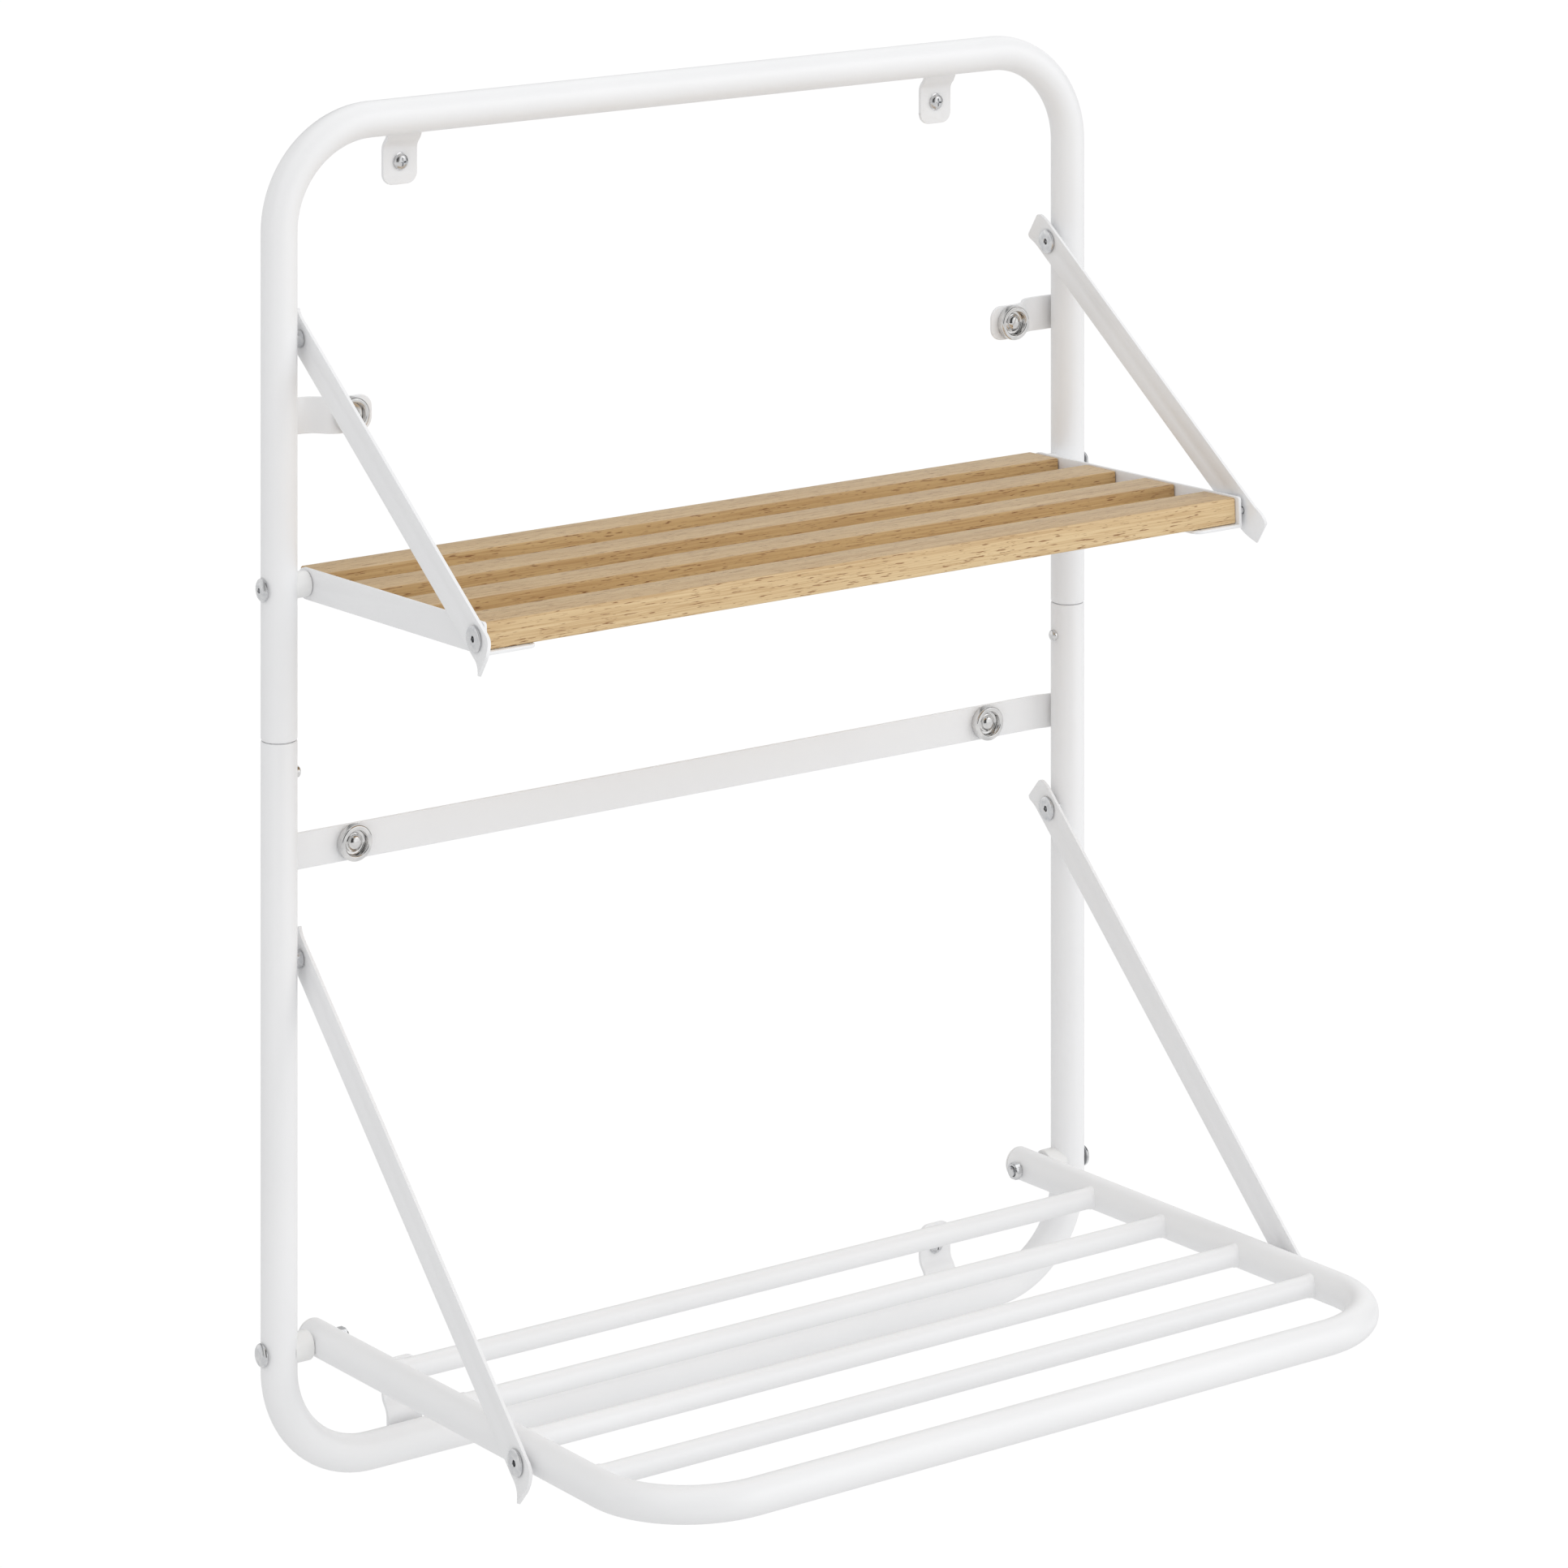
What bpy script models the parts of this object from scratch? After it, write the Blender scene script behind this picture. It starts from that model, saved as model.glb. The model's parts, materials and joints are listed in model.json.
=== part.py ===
"""Wall-mounted folding drying rack: a two-part tube frame, a slatted shelf and a rod rack.

Metres, +Z up. The wall is the plane Y = 0 and the rack stands out from it towards -Y.
X = 0 is the plane of symmetry, and Z = 0 is the underside of the frame.
The two tiers hinge on the uprights, rest on braced struts and fold up flat against magnets.
"""

from math import atan2, cos, hypot, pi, radians, sin

import bmesh
import bpy
from mathutils import Matrix, Vector

GAP = 0.0003  # running and welding gap between neighbouring pieces

# Frame tube
TUBE_R = 0.011
TUBE_BORE = 0.0098
TUBE_SIDES = 16
UPRIGHT_X = 0.295
AXIS_Y = -0.020
RAIL_LOW_Z = TUBE_R
RAIL_HIGH_Z = 0.814
CORNER_R = 0.062
SPLIT_Z = 0.449
SPIGOT_LENGTH = 0.060
SPIGOT_R = TUBE_BORE - GAP
SPIGOT_BORE = 0.0083
INNER_X = UPRIGHT_X - TUBE_R  # inner side of an upright

# Wall tabs and their screws
TAB_X = 0.201
TAB_WIDTH = 0.024
TAB_THICK = 0.0025
TOP_SCREW_Z = 0.783
LOW_SCREW_Z = 0.041
TAB_END = 0.014  # screw axis to the tab's free end
SLOT_R = 0.0027
SLOT_LENGTH = 0.011
SCREW_HEAD_R = 0.005

# Crossbar, catches and magnets
STRIP_HEIGHT = 0.022
STRIP_THICK = 0.002
CROSSBAR_Z = 0.376
CATCH_Z = 0.638
CATCH_TIP_X = 0.2320
CATCH_JOG_X = 0.268
CATCH_FACE_X = 0.258
MAGNET_R = 0.011
MAGNET_DEPTH = 0.006
MAGNET_MOUTH_R = 0.0076
CROSS_MAGNET_X = 0.2372
CATCH_MAGNET_X = 0.2475

# Tiers
TILT = radians(2.8)  # both tiers rise a little towards the front
SHELF_Z = 0.540
RACK_Z = 0.084
PLATE_OUTER_X = 0.276
PLATE_THICK = 0.002
PLATE_TOP = 0.009
PLATE_LOW = -0.010
PLATE_REAR = -0.012
PLATE_FRONT = 0.205
FLANGE_WIDTH = 0.036
SLAT_COUNT = 4
SLAT_FIRST = 0.0035
SLAT_PITCH = 0.061
SLAT_WIDTH = 0.031
SLAT_THICK = 0.016
RACK_TUBE_R = 0.010
RACK_TUBE_BORE = 0.0088
RACK_TUBE_X = 0.265
RACK_DEPTH = 0.3735
RACK_REAR = 0.012
ROD_R = 0.0065
ROD_COUNT = 4
ROD_FIRST = 0.0752
ROD_PITCH = 0.0733

# Struts: flat bars with a finger tab past each rivet
STRUT_WIDTH = 0.0205
STRUT_THICK = 0.002
STRUT_INNER_X = 0.2785
STRUT_BEND_AT = 0.009
TOP_TAIL = 0.0165
TOP_TAIL_SET = 0.002
LOW_TAIL = 0.019
LOW_TAIL_SET = 0.004
LOW_TAIL_FRONT = 0.010  # where the foot's rounded front corner starts
SHELF_STRUT_Z = 0.687
SHELF_STRUT_REACH = 0.202
RACK_STRUT_Z = 0.316
RACK_STRUT_REACH = 0.247
RIVET_HEAD_R = 0.007
RIVET_HEAD = 0.0016
RIVET_R = 0.0022

# Pivots
PIVOT_R = 0.003
PIVOT_HEAD_R = 0.007
SHELF_SPACER_R = 0.0078
RACK_SPACER_R = 0.0088

# Snap buttons that lock the two halves of the frame
BUTTON_Z = 0.4285
BUTTON_R = 0.0036
BUTTON_PROUD = 0.003
SPRING_THICK = 0.0005
SPRING_WIDTH = 0.006
SPRING_DROP = 0.030

BACK_Y = AXIS_Y + TUBE_R  # rearmost line of the frame tube
WHITE = (0.87, 0.87, 0.86, 1)
STEEL = (0.62, 0.62, 0.63, 1)
OAK = (0.74, 0.55, 0.36, 1)
SIDES = (("left", -1), ("right", 1))


def clear_scene():
    for obj in list(bpy.data.objects):
        bpy.data.objects.remove(obj)


def make_material(name, colour, roughness, metallic):
    material = bpy.data.materials.new(name)
    material.use_nodes = True
    shader = material.node_tree.nodes["Principled BSDF"]
    shader.inputs["Base Color"].default_value = colour
    shader.inputs["Roughness"].default_value = roughness
    shader.inputs["Metallic"].default_value = metallic
    return material


def make_object(name, shape, material=None, parent=None):
    """Turn a bmesh into an object with outward faces, and hang it on an optional parent."""
    bmesh.ops.recalc_face_normals(shape, faces=shape.faces)
    mesh = bpy.data.meshes.new(name)
    shape.to_mesh(mesh)
    shape.free()
    mesh.shade_smooth()
    mesh.set_sharp_from_angle(angle=radians(35))
    obj = bpy.data.objects.new(name, mesh)
    bpy.context.scene.collection.objects.link(obj)
    obj.parent = parent
    if material:
        mesh.materials.append(material)
    return obj


def make_cutter(name, shape, parent=None):
    cutter = make_object(name, shape, parent=parent)
    cutter.hide_render = True
    cutter.display_type = "WIRE"
    return cutter


def change(obj, other, operation="DIFFERENCE"):
    modifier = obj.modifiers.new(other.name, "BOOLEAN")
    modifier.operation = operation
    modifier.solver = "EXACT"
    modifier.object = other


def soften(obj, width, segments=2):
    modifier = obj.modifiers.new("edges", "BEVEL")
    modifier.width = width
    modifier.segments = segments
    modifier.limit_method = "ANGLE"
    modifier.angle_limit = radians(40)


def pivot(name, z):
    """Empty on a tier's hinge axis, tilted as the tier rests."""
    empty = bpy.data.objects.new(name, None)
    bpy.context.scene.collection.objects.link(empty)
    empty.location = (0, AXIS_Y, z)
    empty.rotation_euler = (-TILT, 0, 0)
    return empty


# ---- shape builders, each returning a bmesh ----


def arc(centre, radius, start, end, steps):
    """Points of an arc in a plane, angles in radians, both ends included."""
    turns = [start + (end - start) * i / steps for i in range(steps + 1)]
    return [(centre[0] + radius * cos(a), centre[1] + radius * sin(a)) for a in turns]


def ring(shape, centre, along, across, radius, sides):
    """Circle of vertices about centre; across is normal to the path's plane."""
    side = along.cross(across).normalized()
    angles = [2 * pi * i / sides for i in range(sides)]
    return [shape.verts.new(centre + radius * (cos(a) * side + sin(a) * across)) for a in angles]


def bridge(shape, first, second):
    count = len(first)
    for i in range(count):
        shape.faces.new((first[i], first[(i + 1) % count], second[(i + 1) % count], second[i]))


def tube_along(path, across, sizes, sides=TUBE_SIDES):
    """Hollow tube through the path's points; sizes gives (outer, bore) radii at each point."""
    shape = bmesh.new()
    outer, inner = [], []
    last = len(path) - 1
    for i, point in enumerate(path):
        before = (point - path[max(i - 1, 0)]).normalized()
        after = (path[min(i + 1, last)] - point).normalized()
        along = (before + after).normalized()
        outer.append(ring(shape, point, along, across, sizes[i][0], sides))
        inner.append(ring(shape, point, along, across, sizes[i][1], sides))
    for skin in (outer, inner):
        for i in range(last):
            bridge(shape, skin[i], skin[i + 1])
    bridge(shape, outer[0], inner[0])
    bridge(shape, outer[-1], inner[-1])
    return shape


def turned(profile, sides=12, hollow=False):
    """Solid turned about X from (x, radius) points; hollow closes the profile into a ring."""
    shape = bmesh.new()
    rows = []
    for x, radius in profile:
        if radius == 0:
            rows.append([shape.verts.new((x, 0, 0))])
            continue
        angles = [2 * pi * i / sides for i in range(sides)]
        rows.append([shape.verts.new((x, radius * cos(a), radius * sin(a))) for a in angles])
    pairs = list(zip(rows, rows[1:]))
    if hollow:
        pairs.append((rows[-1], rows[0]))
    for first, second in pairs:
        if len(first) == 1 or len(second) == 1:
            tip, loop = (first[0], second) if len(first) == 1 else (second[0], first)
            for i in range(sides):
                shape.faces.new((tip, loop[i], loop[(i + 1) % sides]))
        else:
            bridge(shape, first, second)
    return shape


def dome(start, height, radius, steps=3):
    """(x, radius) points of a cap that starts full width at start and closes on the axis."""
    turns = [pi / 2 * i / steps for i in range(steps)]
    points = [(start + height * sin(a), radius * cos(a)) for a in turns]
    return points + [(start + height, 0)]


def slab(outline, low, high, axis="X"):
    """Extrude a plane outline between two places along an axis."""
    place = {
        "X": lambda u, v, w: (w, u, v),
        "Y": lambda u, v, w: (u, w, v),
        "Z": lambda u, v, w: (u, v, w),
    }[axis]
    shape = bmesh.new()
    first = [shape.verts.new(place(u, v, low)) for u, v in outline]
    second = [shape.verts.new(place(u, v, high)) for u, v in outline]
    bridge(shape, first, second)
    shape.faces.new(first)
    shape.faces.new(second)
    return shape


def box(low, high):
    outline = [(low[0], low[1]), (high[0], low[1]), (high[0], high[1]), (low[0], high[1])]
    return slab(outline, low[2], high[2], "Z")


def drill(x_low, x_high, y, z, radius, sides=12):
    """Cylinder along X used to cut a hole."""
    shape = turned([(x_low, 0), (x_low, radius), (x_high, radius), (x_high, 0)], sides)
    bmesh.ops.translate(shape, verts=shape.verts, vec=(0, y, z))
    return shape


def mirrored(shape, side):
    if side < 0:
        bmesh.ops.scale(shape, verts=shape.verts, vec=(-1, 1, 1))
    return shape


def moved(shape, vec):
    bmesh.ops.translate(shape, verts=shape.verts, vec=vec)
    return shape


# ---- frame ----


def frame_path(rail_z, end_z, up):
    """Centre line of half the frame: leg, corner, rail, corner, leg. up is 1 for the upper half."""
    turn_x = UPRIGHT_X - CORNER_R
    turn_z = rail_z - up * CORNER_R
    right = arc((turn_x, turn_z), CORNER_R, 0, up * pi / 2, 6)
    left = [(-x, z) for x, z in reversed(right)]
    flat = [(UPRIGHT_X, end_z)] + right + left + [(-UPRIGHT_X, end_z)]
    return [Vector((x, AXIS_Y, z)) for x, z in flat]


def make_upper_frame(white):
    """Upper half, whose legs are swaged down to spigots that enter the lower half."""
    shoulder = SPLIT_Z + GAP
    path = frame_path(RAIL_HIGH_Z, shoulder + 0.003, 1)
    ends = []
    for x in (UPRIGHT_X, -UPRIGHT_X):
        ends.append([Vector((x, AXIS_Y, z)) for z in (SPLIT_Z - SPIGOT_LENGTH, shoulder)])
    path = ends[0] + path + ends[1][::-1]
    spigot = (SPIGOT_R, SPIGOT_BORE)
    full = (TUBE_R, TUBE_BORE)
    sizes = [spigot, spigot] + [full] * (len(path) - 4) + [spigot, spigot]
    return make_object("upper_frame_tube", tube_along(path, Vector((0, 1, 0)), sizes), white)


def make_lower_frame(white):
    path = frame_path(RAIL_LOW_Z, SPLIT_Z, -1)
    sizes = [(TUBE_R, TUBE_BORE)] * len(path)
    return make_object("lower_frame_tube", tube_along(path, Vector((0, 1, 0)), sizes), white)


def drill_frame(upper, lower):
    """Holes for the tier pivots, the strut rivets and the snap buttons."""
    for side_name, side in SIDES:
        through = ((upper, SHELF_Z, "shelf"), (lower, RACK_Z, "rack"))
        for tube, z, label in through:
            hole = drill(INNER_X - 0.01, UPRIGHT_X + TUBE_R + 0.01, AXIS_Y, z, PIVOT_R + GAP)
            change(tube, make_cutter(f"{label}_pivot_hole_{side_name}", mirrored(hole, side)))
        for tube, z, label in ((upper, SHELF_STRUT_Z, "shelf"), (lower, RACK_STRUT_Z, "rack")):
            hole = drill(INNER_X - 0.01, UPRIGHT_X, AXIS_Y, z, RIVET_R + GAP)
            change(tube, make_cutter(f"{label}_rivet_hole_{side_name}", mirrored(hole, side)))
        hole = drill(INNER_X - 0.01, UPRIGHT_X, AXIS_Y, BUTTON_Z, BUTTON_R + GAP)
        cutter = make_cutter(f"button_hole_{side_name}", mirrored(hole, side))
        change(upper, cutter)
        change(lower, cutter)


def tab_outline(rail_z, screw_z):
    """(y, z) outline of a wall tab: flat on the rail's back, a jog, then flat on the wall."""
    up = 1 if rail_z > screw_z else -1
    back = BACK_Y + GAP
    jog_high = rail_z - up * 0.014
    jog_low = jog_high - up * 0.006
    rail_end = rail_z + up * 0.006
    end = screw_z - up * TAB_END
    rear = [(back + TAB_THICK, rail_end), (back + TAB_THICK, jog_high), (0, jog_low), (0, end)]
    front = [(-TAB_THICK, end), (-TAB_THICK, jog_low), (back, jog_high), (back, rail_end)]
    return rear + front


def slot_cutter(x, z):
    """Upright slot right through a tab."""
    reach = SLOT_LENGTH / 2 - SLOT_R
    top = arc((x, z + reach), SLOT_R, 0, pi, 6)
    low = arc((x, z - reach), SLOT_R, pi, 2 * pi, 6)
    return slab(top + low, -0.01, 0.01, "Y")


def corner_cutter(x, end_z, up, side):
    """What a rounded corner takes off a tab's free end."""
    radius = 0.007
    edge = TAB_WIDTH / 2
    centre = (edge - radius, radius)
    round_part = arc(centre, radius, 0, -pi / 2, 5)
    waste = [(edge + 0.002, centre[1])] + round_part + [(centre[0], -0.002), (edge + 0.002, -0.002)]
    return slab([(x + side * u, end_z + up * v) for u, v in waste], -0.012, 0.01, "Y")


def make_wall_tabs(white):
    rows = (("top", RAIL_HIGH_Z, TOP_SCREW_Z), ("bottom", RAIL_LOW_Z, LOW_SCREW_Z))
    for row, rail_z, screw_z in rows:
        up = 1 if rail_z > screw_z else -1
        for side_name, side in SIDES:
            name = f"{row}_wall_tab_{side_name}"
            x = side * TAB_X
            outline = tab_outline(rail_z, screw_z)
            tab = make_object(name, slab(outline, x - TAB_WIDTH / 2, x + TAB_WIDTH / 2), white)
            change(tab, make_cutter(f"{name}_slot", slot_cutter(x, screw_z)))
            for corner in (-1, 1):
                waste = corner_cutter(x, screw_z - up * TAB_END, up, corner)
                change(tab, make_cutter(f"{name}_corner_{corner + 1}", waste))


def make_wall_screws(steel):
    """Dome-headed screws, drawn up to the wall plane."""
    head = dome(TAB_THICK + GAP, 0.0028, SCREW_HEAD_R)
    profile = [(GAP, 0), (GAP, 0.0021), (TAB_THICK + GAP, 0.0021)] + head
    turn = Matrix.Rotation(-pi / 2, 3, "Z")
    for row, z in (("top", TOP_SCREW_Z), ("bottom", LOW_SCREW_Z)):
        for side_name, side in SIDES:
            screw = turned(profile, 12)
            bmesh.ops.rotate(screw, verts=screw.verts, matrix=turn)
            make_object(f"{row}_wall_screw_{side_name}", moved(screw, (side * TAB_X, 0, z)), steel)


def strip_outline(points, thick):
    """Outline of a bent strip from the points of its front face, thickened towards the wall."""
    return points + [(x, y + thick) for x, y in reversed(points)]


def make_crossbar(white):
    """Flat bar behind the uprights, whose ends step forward to meet them."""
    end_x = UPRIGHT_X + 0.004
    seat = BACK_Y + GAP
    face = crossbar_face()
    half = [(end_x, seat), (INNER_X + 0.003, seat), (INNER_X - 0.003, face)]
    points = half + [(-x, y) for x, y in reversed(half)]
    outline = strip_outline(points, STRIP_THICK)
    low = CROSSBAR_Z - STRIP_HEIGHT / 2
    make_object("crossbar", slab(outline, low, low + STRIP_HEIGHT, "Z"), white)


def crossbar_face():
    """Y of the crossbar's front face: its magnets just meet the last rod when the rack is up."""
    return AXIS_Y + ROD_R + GAP + MAGNET_DEPTH


def catch_face():
    """Y of a catch's front face: its magnet just meets the flange when the shelf is up."""
    return AXIS_Y + PLATE_LOW + PLATE_THICK + GAP + MAGNET_DEPTH


def make_catches(white):
    """Joggled brackets that hold the shelf's magnets, with round-cornered tips."""
    seat = BACK_Y + GAP
    low = CATCH_Z - STRIP_HEIGHT / 2
    for side_name, side in SIDES:
        points = [
            (UPRIGHT_X + 0.004, seat),
            (CATCH_JOG_X, seat),
            (CATCH_FACE_X, catch_face()),
            (CATCH_TIP_X, catch_face()),
        ]
        outline = [(side * x, y) for x, y in strip_outline(points, STRIP_THICK)]
        catch = make_object(
            f"catch_bracket_{side_name}", slab(outline, low, low + STRIP_HEIGHT, "Z"), white
        )
        for up in (-1, 1):
            change(catch, make_cutter(f"catch_corner_{side_name}_{up + 1}", tip_cutter(side, up)))


def tip_cutter(side, up):
    """What a round corner takes off a catch bracket's tip."""
    radius = 0.008
    edge = STRIP_HEIGHT / 2
    round_part = arc((CATCH_TIP_X + radius, edge - radius), radius, pi, pi / 2, 5)
    out_x = CATCH_TIP_X - 0.002
    waste = [(out_x, edge - radius)] + round_part + [(CATCH_TIP_X + radius, edge + 0.002)]
    waste += [(out_x, edge + 0.002)]
    return slab([(side * u, CATCH_Z + up * v) for u, v in waste], -0.05, 0, "Y")


def magnet_places():
    """(name, x, y, z) of each magnet's seat."""
    places = []
    for side_name, side in SIDES:
        places.append((f"crossbar_{side_name}", side * CROSS_MAGNET_X, crossbar_face(), CROSSBAR_Z))
        places.append((f"catch_{side_name}", side * CATCH_MAGNET_X, catch_face(), CATCH_Z))
    return places


def make_magnets(steel):
    """Turned cups with an open mouth, and a domed magnet seated in each."""
    turn = Matrix.Rotation(-pi / 2, 3, "Z")
    floor = 0.0012
    for label, x, y, z in magnet_places():
        cup_profile = [
            (GAP, 0),
            (GAP, MAGNET_R - 0.0008),
            (0.0011, MAGNET_R),
            (MAGNET_DEPTH - 0.0006, MAGNET_R),
            (MAGNET_DEPTH, MAGNET_R - 0.0009),
            (MAGNET_DEPTH, MAGNET_MOUTH_R + 0.0006),
            (MAGNET_DEPTH - 0.0006, MAGNET_MOUTH_R),
            (floor, MAGNET_MOUTH_R),
            (floor, 0),
        ]
        core_profile = [(floor + GAP, 0), (floor + GAP, 0.0058), (0.0026, 0.0058)]
        core_profile += dome(0.0026, 0.0026, 0.0056)
        for kind, profile, sides in (("magnet_cup", cup_profile, 16), ("magnet", core_profile, 12)):
            shape = turned(profile, sides)
            bmesh.ops.rotate(shape, verts=shape.verts, matrix=turn)
            make_object(f"{kind}_{label}", moved(shape, (x, y, z)), steel)


def make_snap_buttons(steel):
    """Round-nosed button through both tube walls, pushed inwards by a V-shaped leaf spring."""
    base = UPRIGHT_X - SPIGOT_BORE + 0.0025
    nose = INNER_X - BUTTON_PROUD
    leaf_x = base + GAP
    far_x = UPRIGHT_X + SPIGOT_BORE - 0.0016
    for side_name, side in SIDES:
        nose_points = [(2 * nose + 0.0015 - x, r) for x, r in dome(nose, 0.0015, BUTTON_R)]
        profile = nose_points[::-1] + [(base, BUTTON_R), (base, 0)]
        button = moved(mirrored(turned(profile, 12), side), (0, AXIS_Y, BUTTON_Z))
        make_object(f"snap_button_{side_name}", button, steel)
        front = [(leaf_x, 0.004), (leaf_x, -0.006)]
        middle = (leaf_x + far_x) / 2
        bend = arc((middle, -SPRING_DROP), (far_x - leaf_x) / 2, pi, 2 * pi, 6)
        spring = front + bend + [(far_x, 0.004)]
        outline = [(side * x, BUTTON_Z + z) for x, z in thick_line(spring, SPRING_THICK)]
        half = SPRING_WIDTH / 2
        shape = slab(outline, AXIS_Y - half, AXIS_Y + half, "Y")
        make_object(f"button_spring_{side_name}", shape, steel)


def thick_line(points, thick):
    """Close an open line into an outline by offsetting it to its left."""
    offset = []
    for i, point in enumerate(points):
        before = points[max(i - 1, 0)]
        after = points[min(i + 1, len(points) - 1)]
        dx, dy = after[0] - before[0], after[1] - before[1]
        scale = thick / hypot(dx, dy)
        offset.append((point[0] - dy * scale, point[1] + dx * scale))
    return points + offset[::-1]


# ---- pivots and rivets ----


def make_tier_pivots(white, steel):
    """Shelf rivets, rack bolts with nuts, and the spacers that they pass through."""
    outer = UPRIGHT_X + TUBE_R + GAP
    for side_name, side in SIDES:
        inner_end = PLATE_OUTER_X - PLATE_THICK - GAP
        head = [(outer, PIVOT_HEAD_R), (outer + 0.0012, PIVOT_HEAD_R), (outer + 0.0026, 0.0042)]
        head += [(outer + 0.0026, 0.0014), (outer + 0.0012, 0.0013), (outer + 0.0012, 0)]
        bulb = [(inner_end - 0.0025, 0), (inner_end - 0.0025, 0.0035), (inner_end, 0.0048)]
        profile = bulb + [(inner_end, PIVOT_R), (outer, PIVOT_R)] + head
        place = (0, AXIS_Y, SHELF_Z)
        rivet = moved(mirrored(turned(profile), side), place)
        make_object(f"shelf_pivot_rivet_{side_name}", rivet, steel)
        spacer_name = f"shelf_pivot_spacer_{side_name}"
        make_spacer(spacer_name, side, PLATE_OUTER_X, SHELF_SPACER_R, SHELF_Z, white)

        tube_in = RACK_TUBE_X - RACK_TUBE_R
        profile = [(tube_in - 0.007, 0), (tube_in - 0.007, PIVOT_R), (outer, PIVOT_R)]
        profile += dome(outer, 0.0034, PIVOT_HEAD_R)
        place = (0, AXIS_Y, RACK_Z)
        bolt = moved(mirrored(turned(profile), side), place)
        make_object(f"rack_pivot_bolt_{side_name}", bolt, steel)
        spacer_name = f"rack_pivot_spacer_{side_name}"
        make_spacer(spacer_name, side, RACK_TUBE_X + RACK_TUBE_R, RACK_SPACER_R, RACK_Z, white)
        nut_high, nut_low = tube_in - GAP, tube_in - 0.0053
        bore = PIVOT_R + GAP
        profile = [(nut_low, bore), (nut_low, 0.0048), (nut_low + 0.0008, 0.0057)]
        profile += [(nut_high, 0.0057), (nut_high, bore)]
        nut = moved(mirrored(hex_nut(profile, bore), side), place)
        make_object(f"rack_pivot_nut_{side_name}", nut, steel)


def hex_nut(profile, bore):
    """Hexagonal ring with a round bore: the outer points get six sides, the bore twelve."""
    shape = bmesh.new()
    rows = []
    for x, radius in profile:
        row = []
        for i in range(12):
            angle = 2 * pi * i / 12
            flat = 1 if radius == bore or i % 2 == 0 else cos(pi / 6)
            row.append(shape.verts.new((x, radius * flat * cos(angle), radius * flat * sin(angle))))
        rows.append(row)
    for first, second in zip(rows, rows[1:] + rows[:1]):
        bridge(shape, first, second)
    return shape


def make_spacer(name, side, inner_x, radius, z, material):
    low, high = inner_x + GAP, INNER_X - GAP
    bore = PIVOT_R + GAP
    profile = [(low, bore), (low, radius), (high, radius), (high, bore)]
    spacer = moved(mirrored(turned(profile, 16, hollow=True), side), (0, AXIS_Y, z))
    make_object(name, spacer, material)


def make_top_rivet(name, side, z, steel):
    """Flat-headed rivet with a shoulder that holds the strut off the upright."""
    head = STRUT_INNER_X - GAP
    shoulder = STRUT_INNER_X + STRUT_THICK + GAP
    inside = UPRIGHT_X - TUBE_BORE + 0.0012
    profile = [
        (head - 0.0006, 0),
        (head - 0.0006, 0.0016),
        (head - RIVET_HEAD, 0.0022),
        (head - RIVET_HEAD, RIVET_HEAD_R - 0.0008),
        (head - RIVET_HEAD / 2, RIVET_HEAD_R),
        (head, RIVET_HEAD_R),
        (head, RIVET_R),
        (shoulder, RIVET_R),
        (shoulder, 0.0055),
        (INNER_X - GAP, 0.0055),
        (INNER_X - GAP, RIVET_R),
        (inside, RIVET_R),
        (inside, 0.0032),
        (inside + 0.0022, 0.0026),
        (inside + 0.0022, 0),
    ]
    make_object(name, moved(mirrored(turned(profile), side), (0, AXIS_Y, z)), steel)


def make_low_rivet(name, side, y, z, inner_x, steel):
    """Flat-headed rivet that stops just short of the tier, where the linkage opens."""
    head = STRUT_INNER_X + STRUT_THICK + GAP
    profile = [
        (inner_x + GAP, 0),
        (inner_x + GAP, RIVET_R),
        (head, RIVET_R),
        (head, RIVET_HEAD_R),
        (head + RIVET_HEAD / 2, RIVET_HEAD_R),
        (head + RIVET_HEAD, RIVET_HEAD_R - 0.0008),
        (head + RIVET_HEAD, 0.0022),
        (head + 0.0006, 0.0016),
        (head + 0.0006, 0),
    ]
    make_object(name, moved(mirrored(turned(profile), side), (0, y, z)), steel)


# ---- struts ----


def strut_shape(length):
    """Flat bar hanging from its top rivet at the origin along -Z, with a set at each tail."""
    stations = [
        (TOP_TAIL, -TOP_TAIL_SET),
        (STRUT_BEND_AT, 0),
        (-length - STRUT_BEND_AT, 0),
        (-length - LOW_TAIL, LOW_TAIL_SET),
    ]
    half = STRUT_WIDTH / 2
    front = [(STRUT_INNER_X + x, z) for z, x in stations]
    outline = [(x, z) for x, z in front] + [(x + STRUT_THICK, z) for x, z in reversed(front)]
    return slab(outline, -half, half, "Y")


def foot_cutter(length):
    """What the rounded front corner takes off a strut's foot, leaving a claw at the rear."""
    half = STRUT_WIDTH / 2
    start, end = -length - LOW_TAIL_FRONT, -length - LOW_TAIL
    drop = start - end
    turns = [pi / 2 * i / 6 for i in range(7)]
    curve = [(-half * 0.2 - half * 0.8 * cos(a), start - drop * sin(a)) for a in turns]
    waste = curve + [(half * 0.7, end - 0.001), (half * 0.7, end - 0.004)]
    waste += [(-half - 0.004, end - 0.004), (-half - 0.004, start)]
    return slab(waste, INNER_X - 0.02, INNER_X + 0.02)


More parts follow.
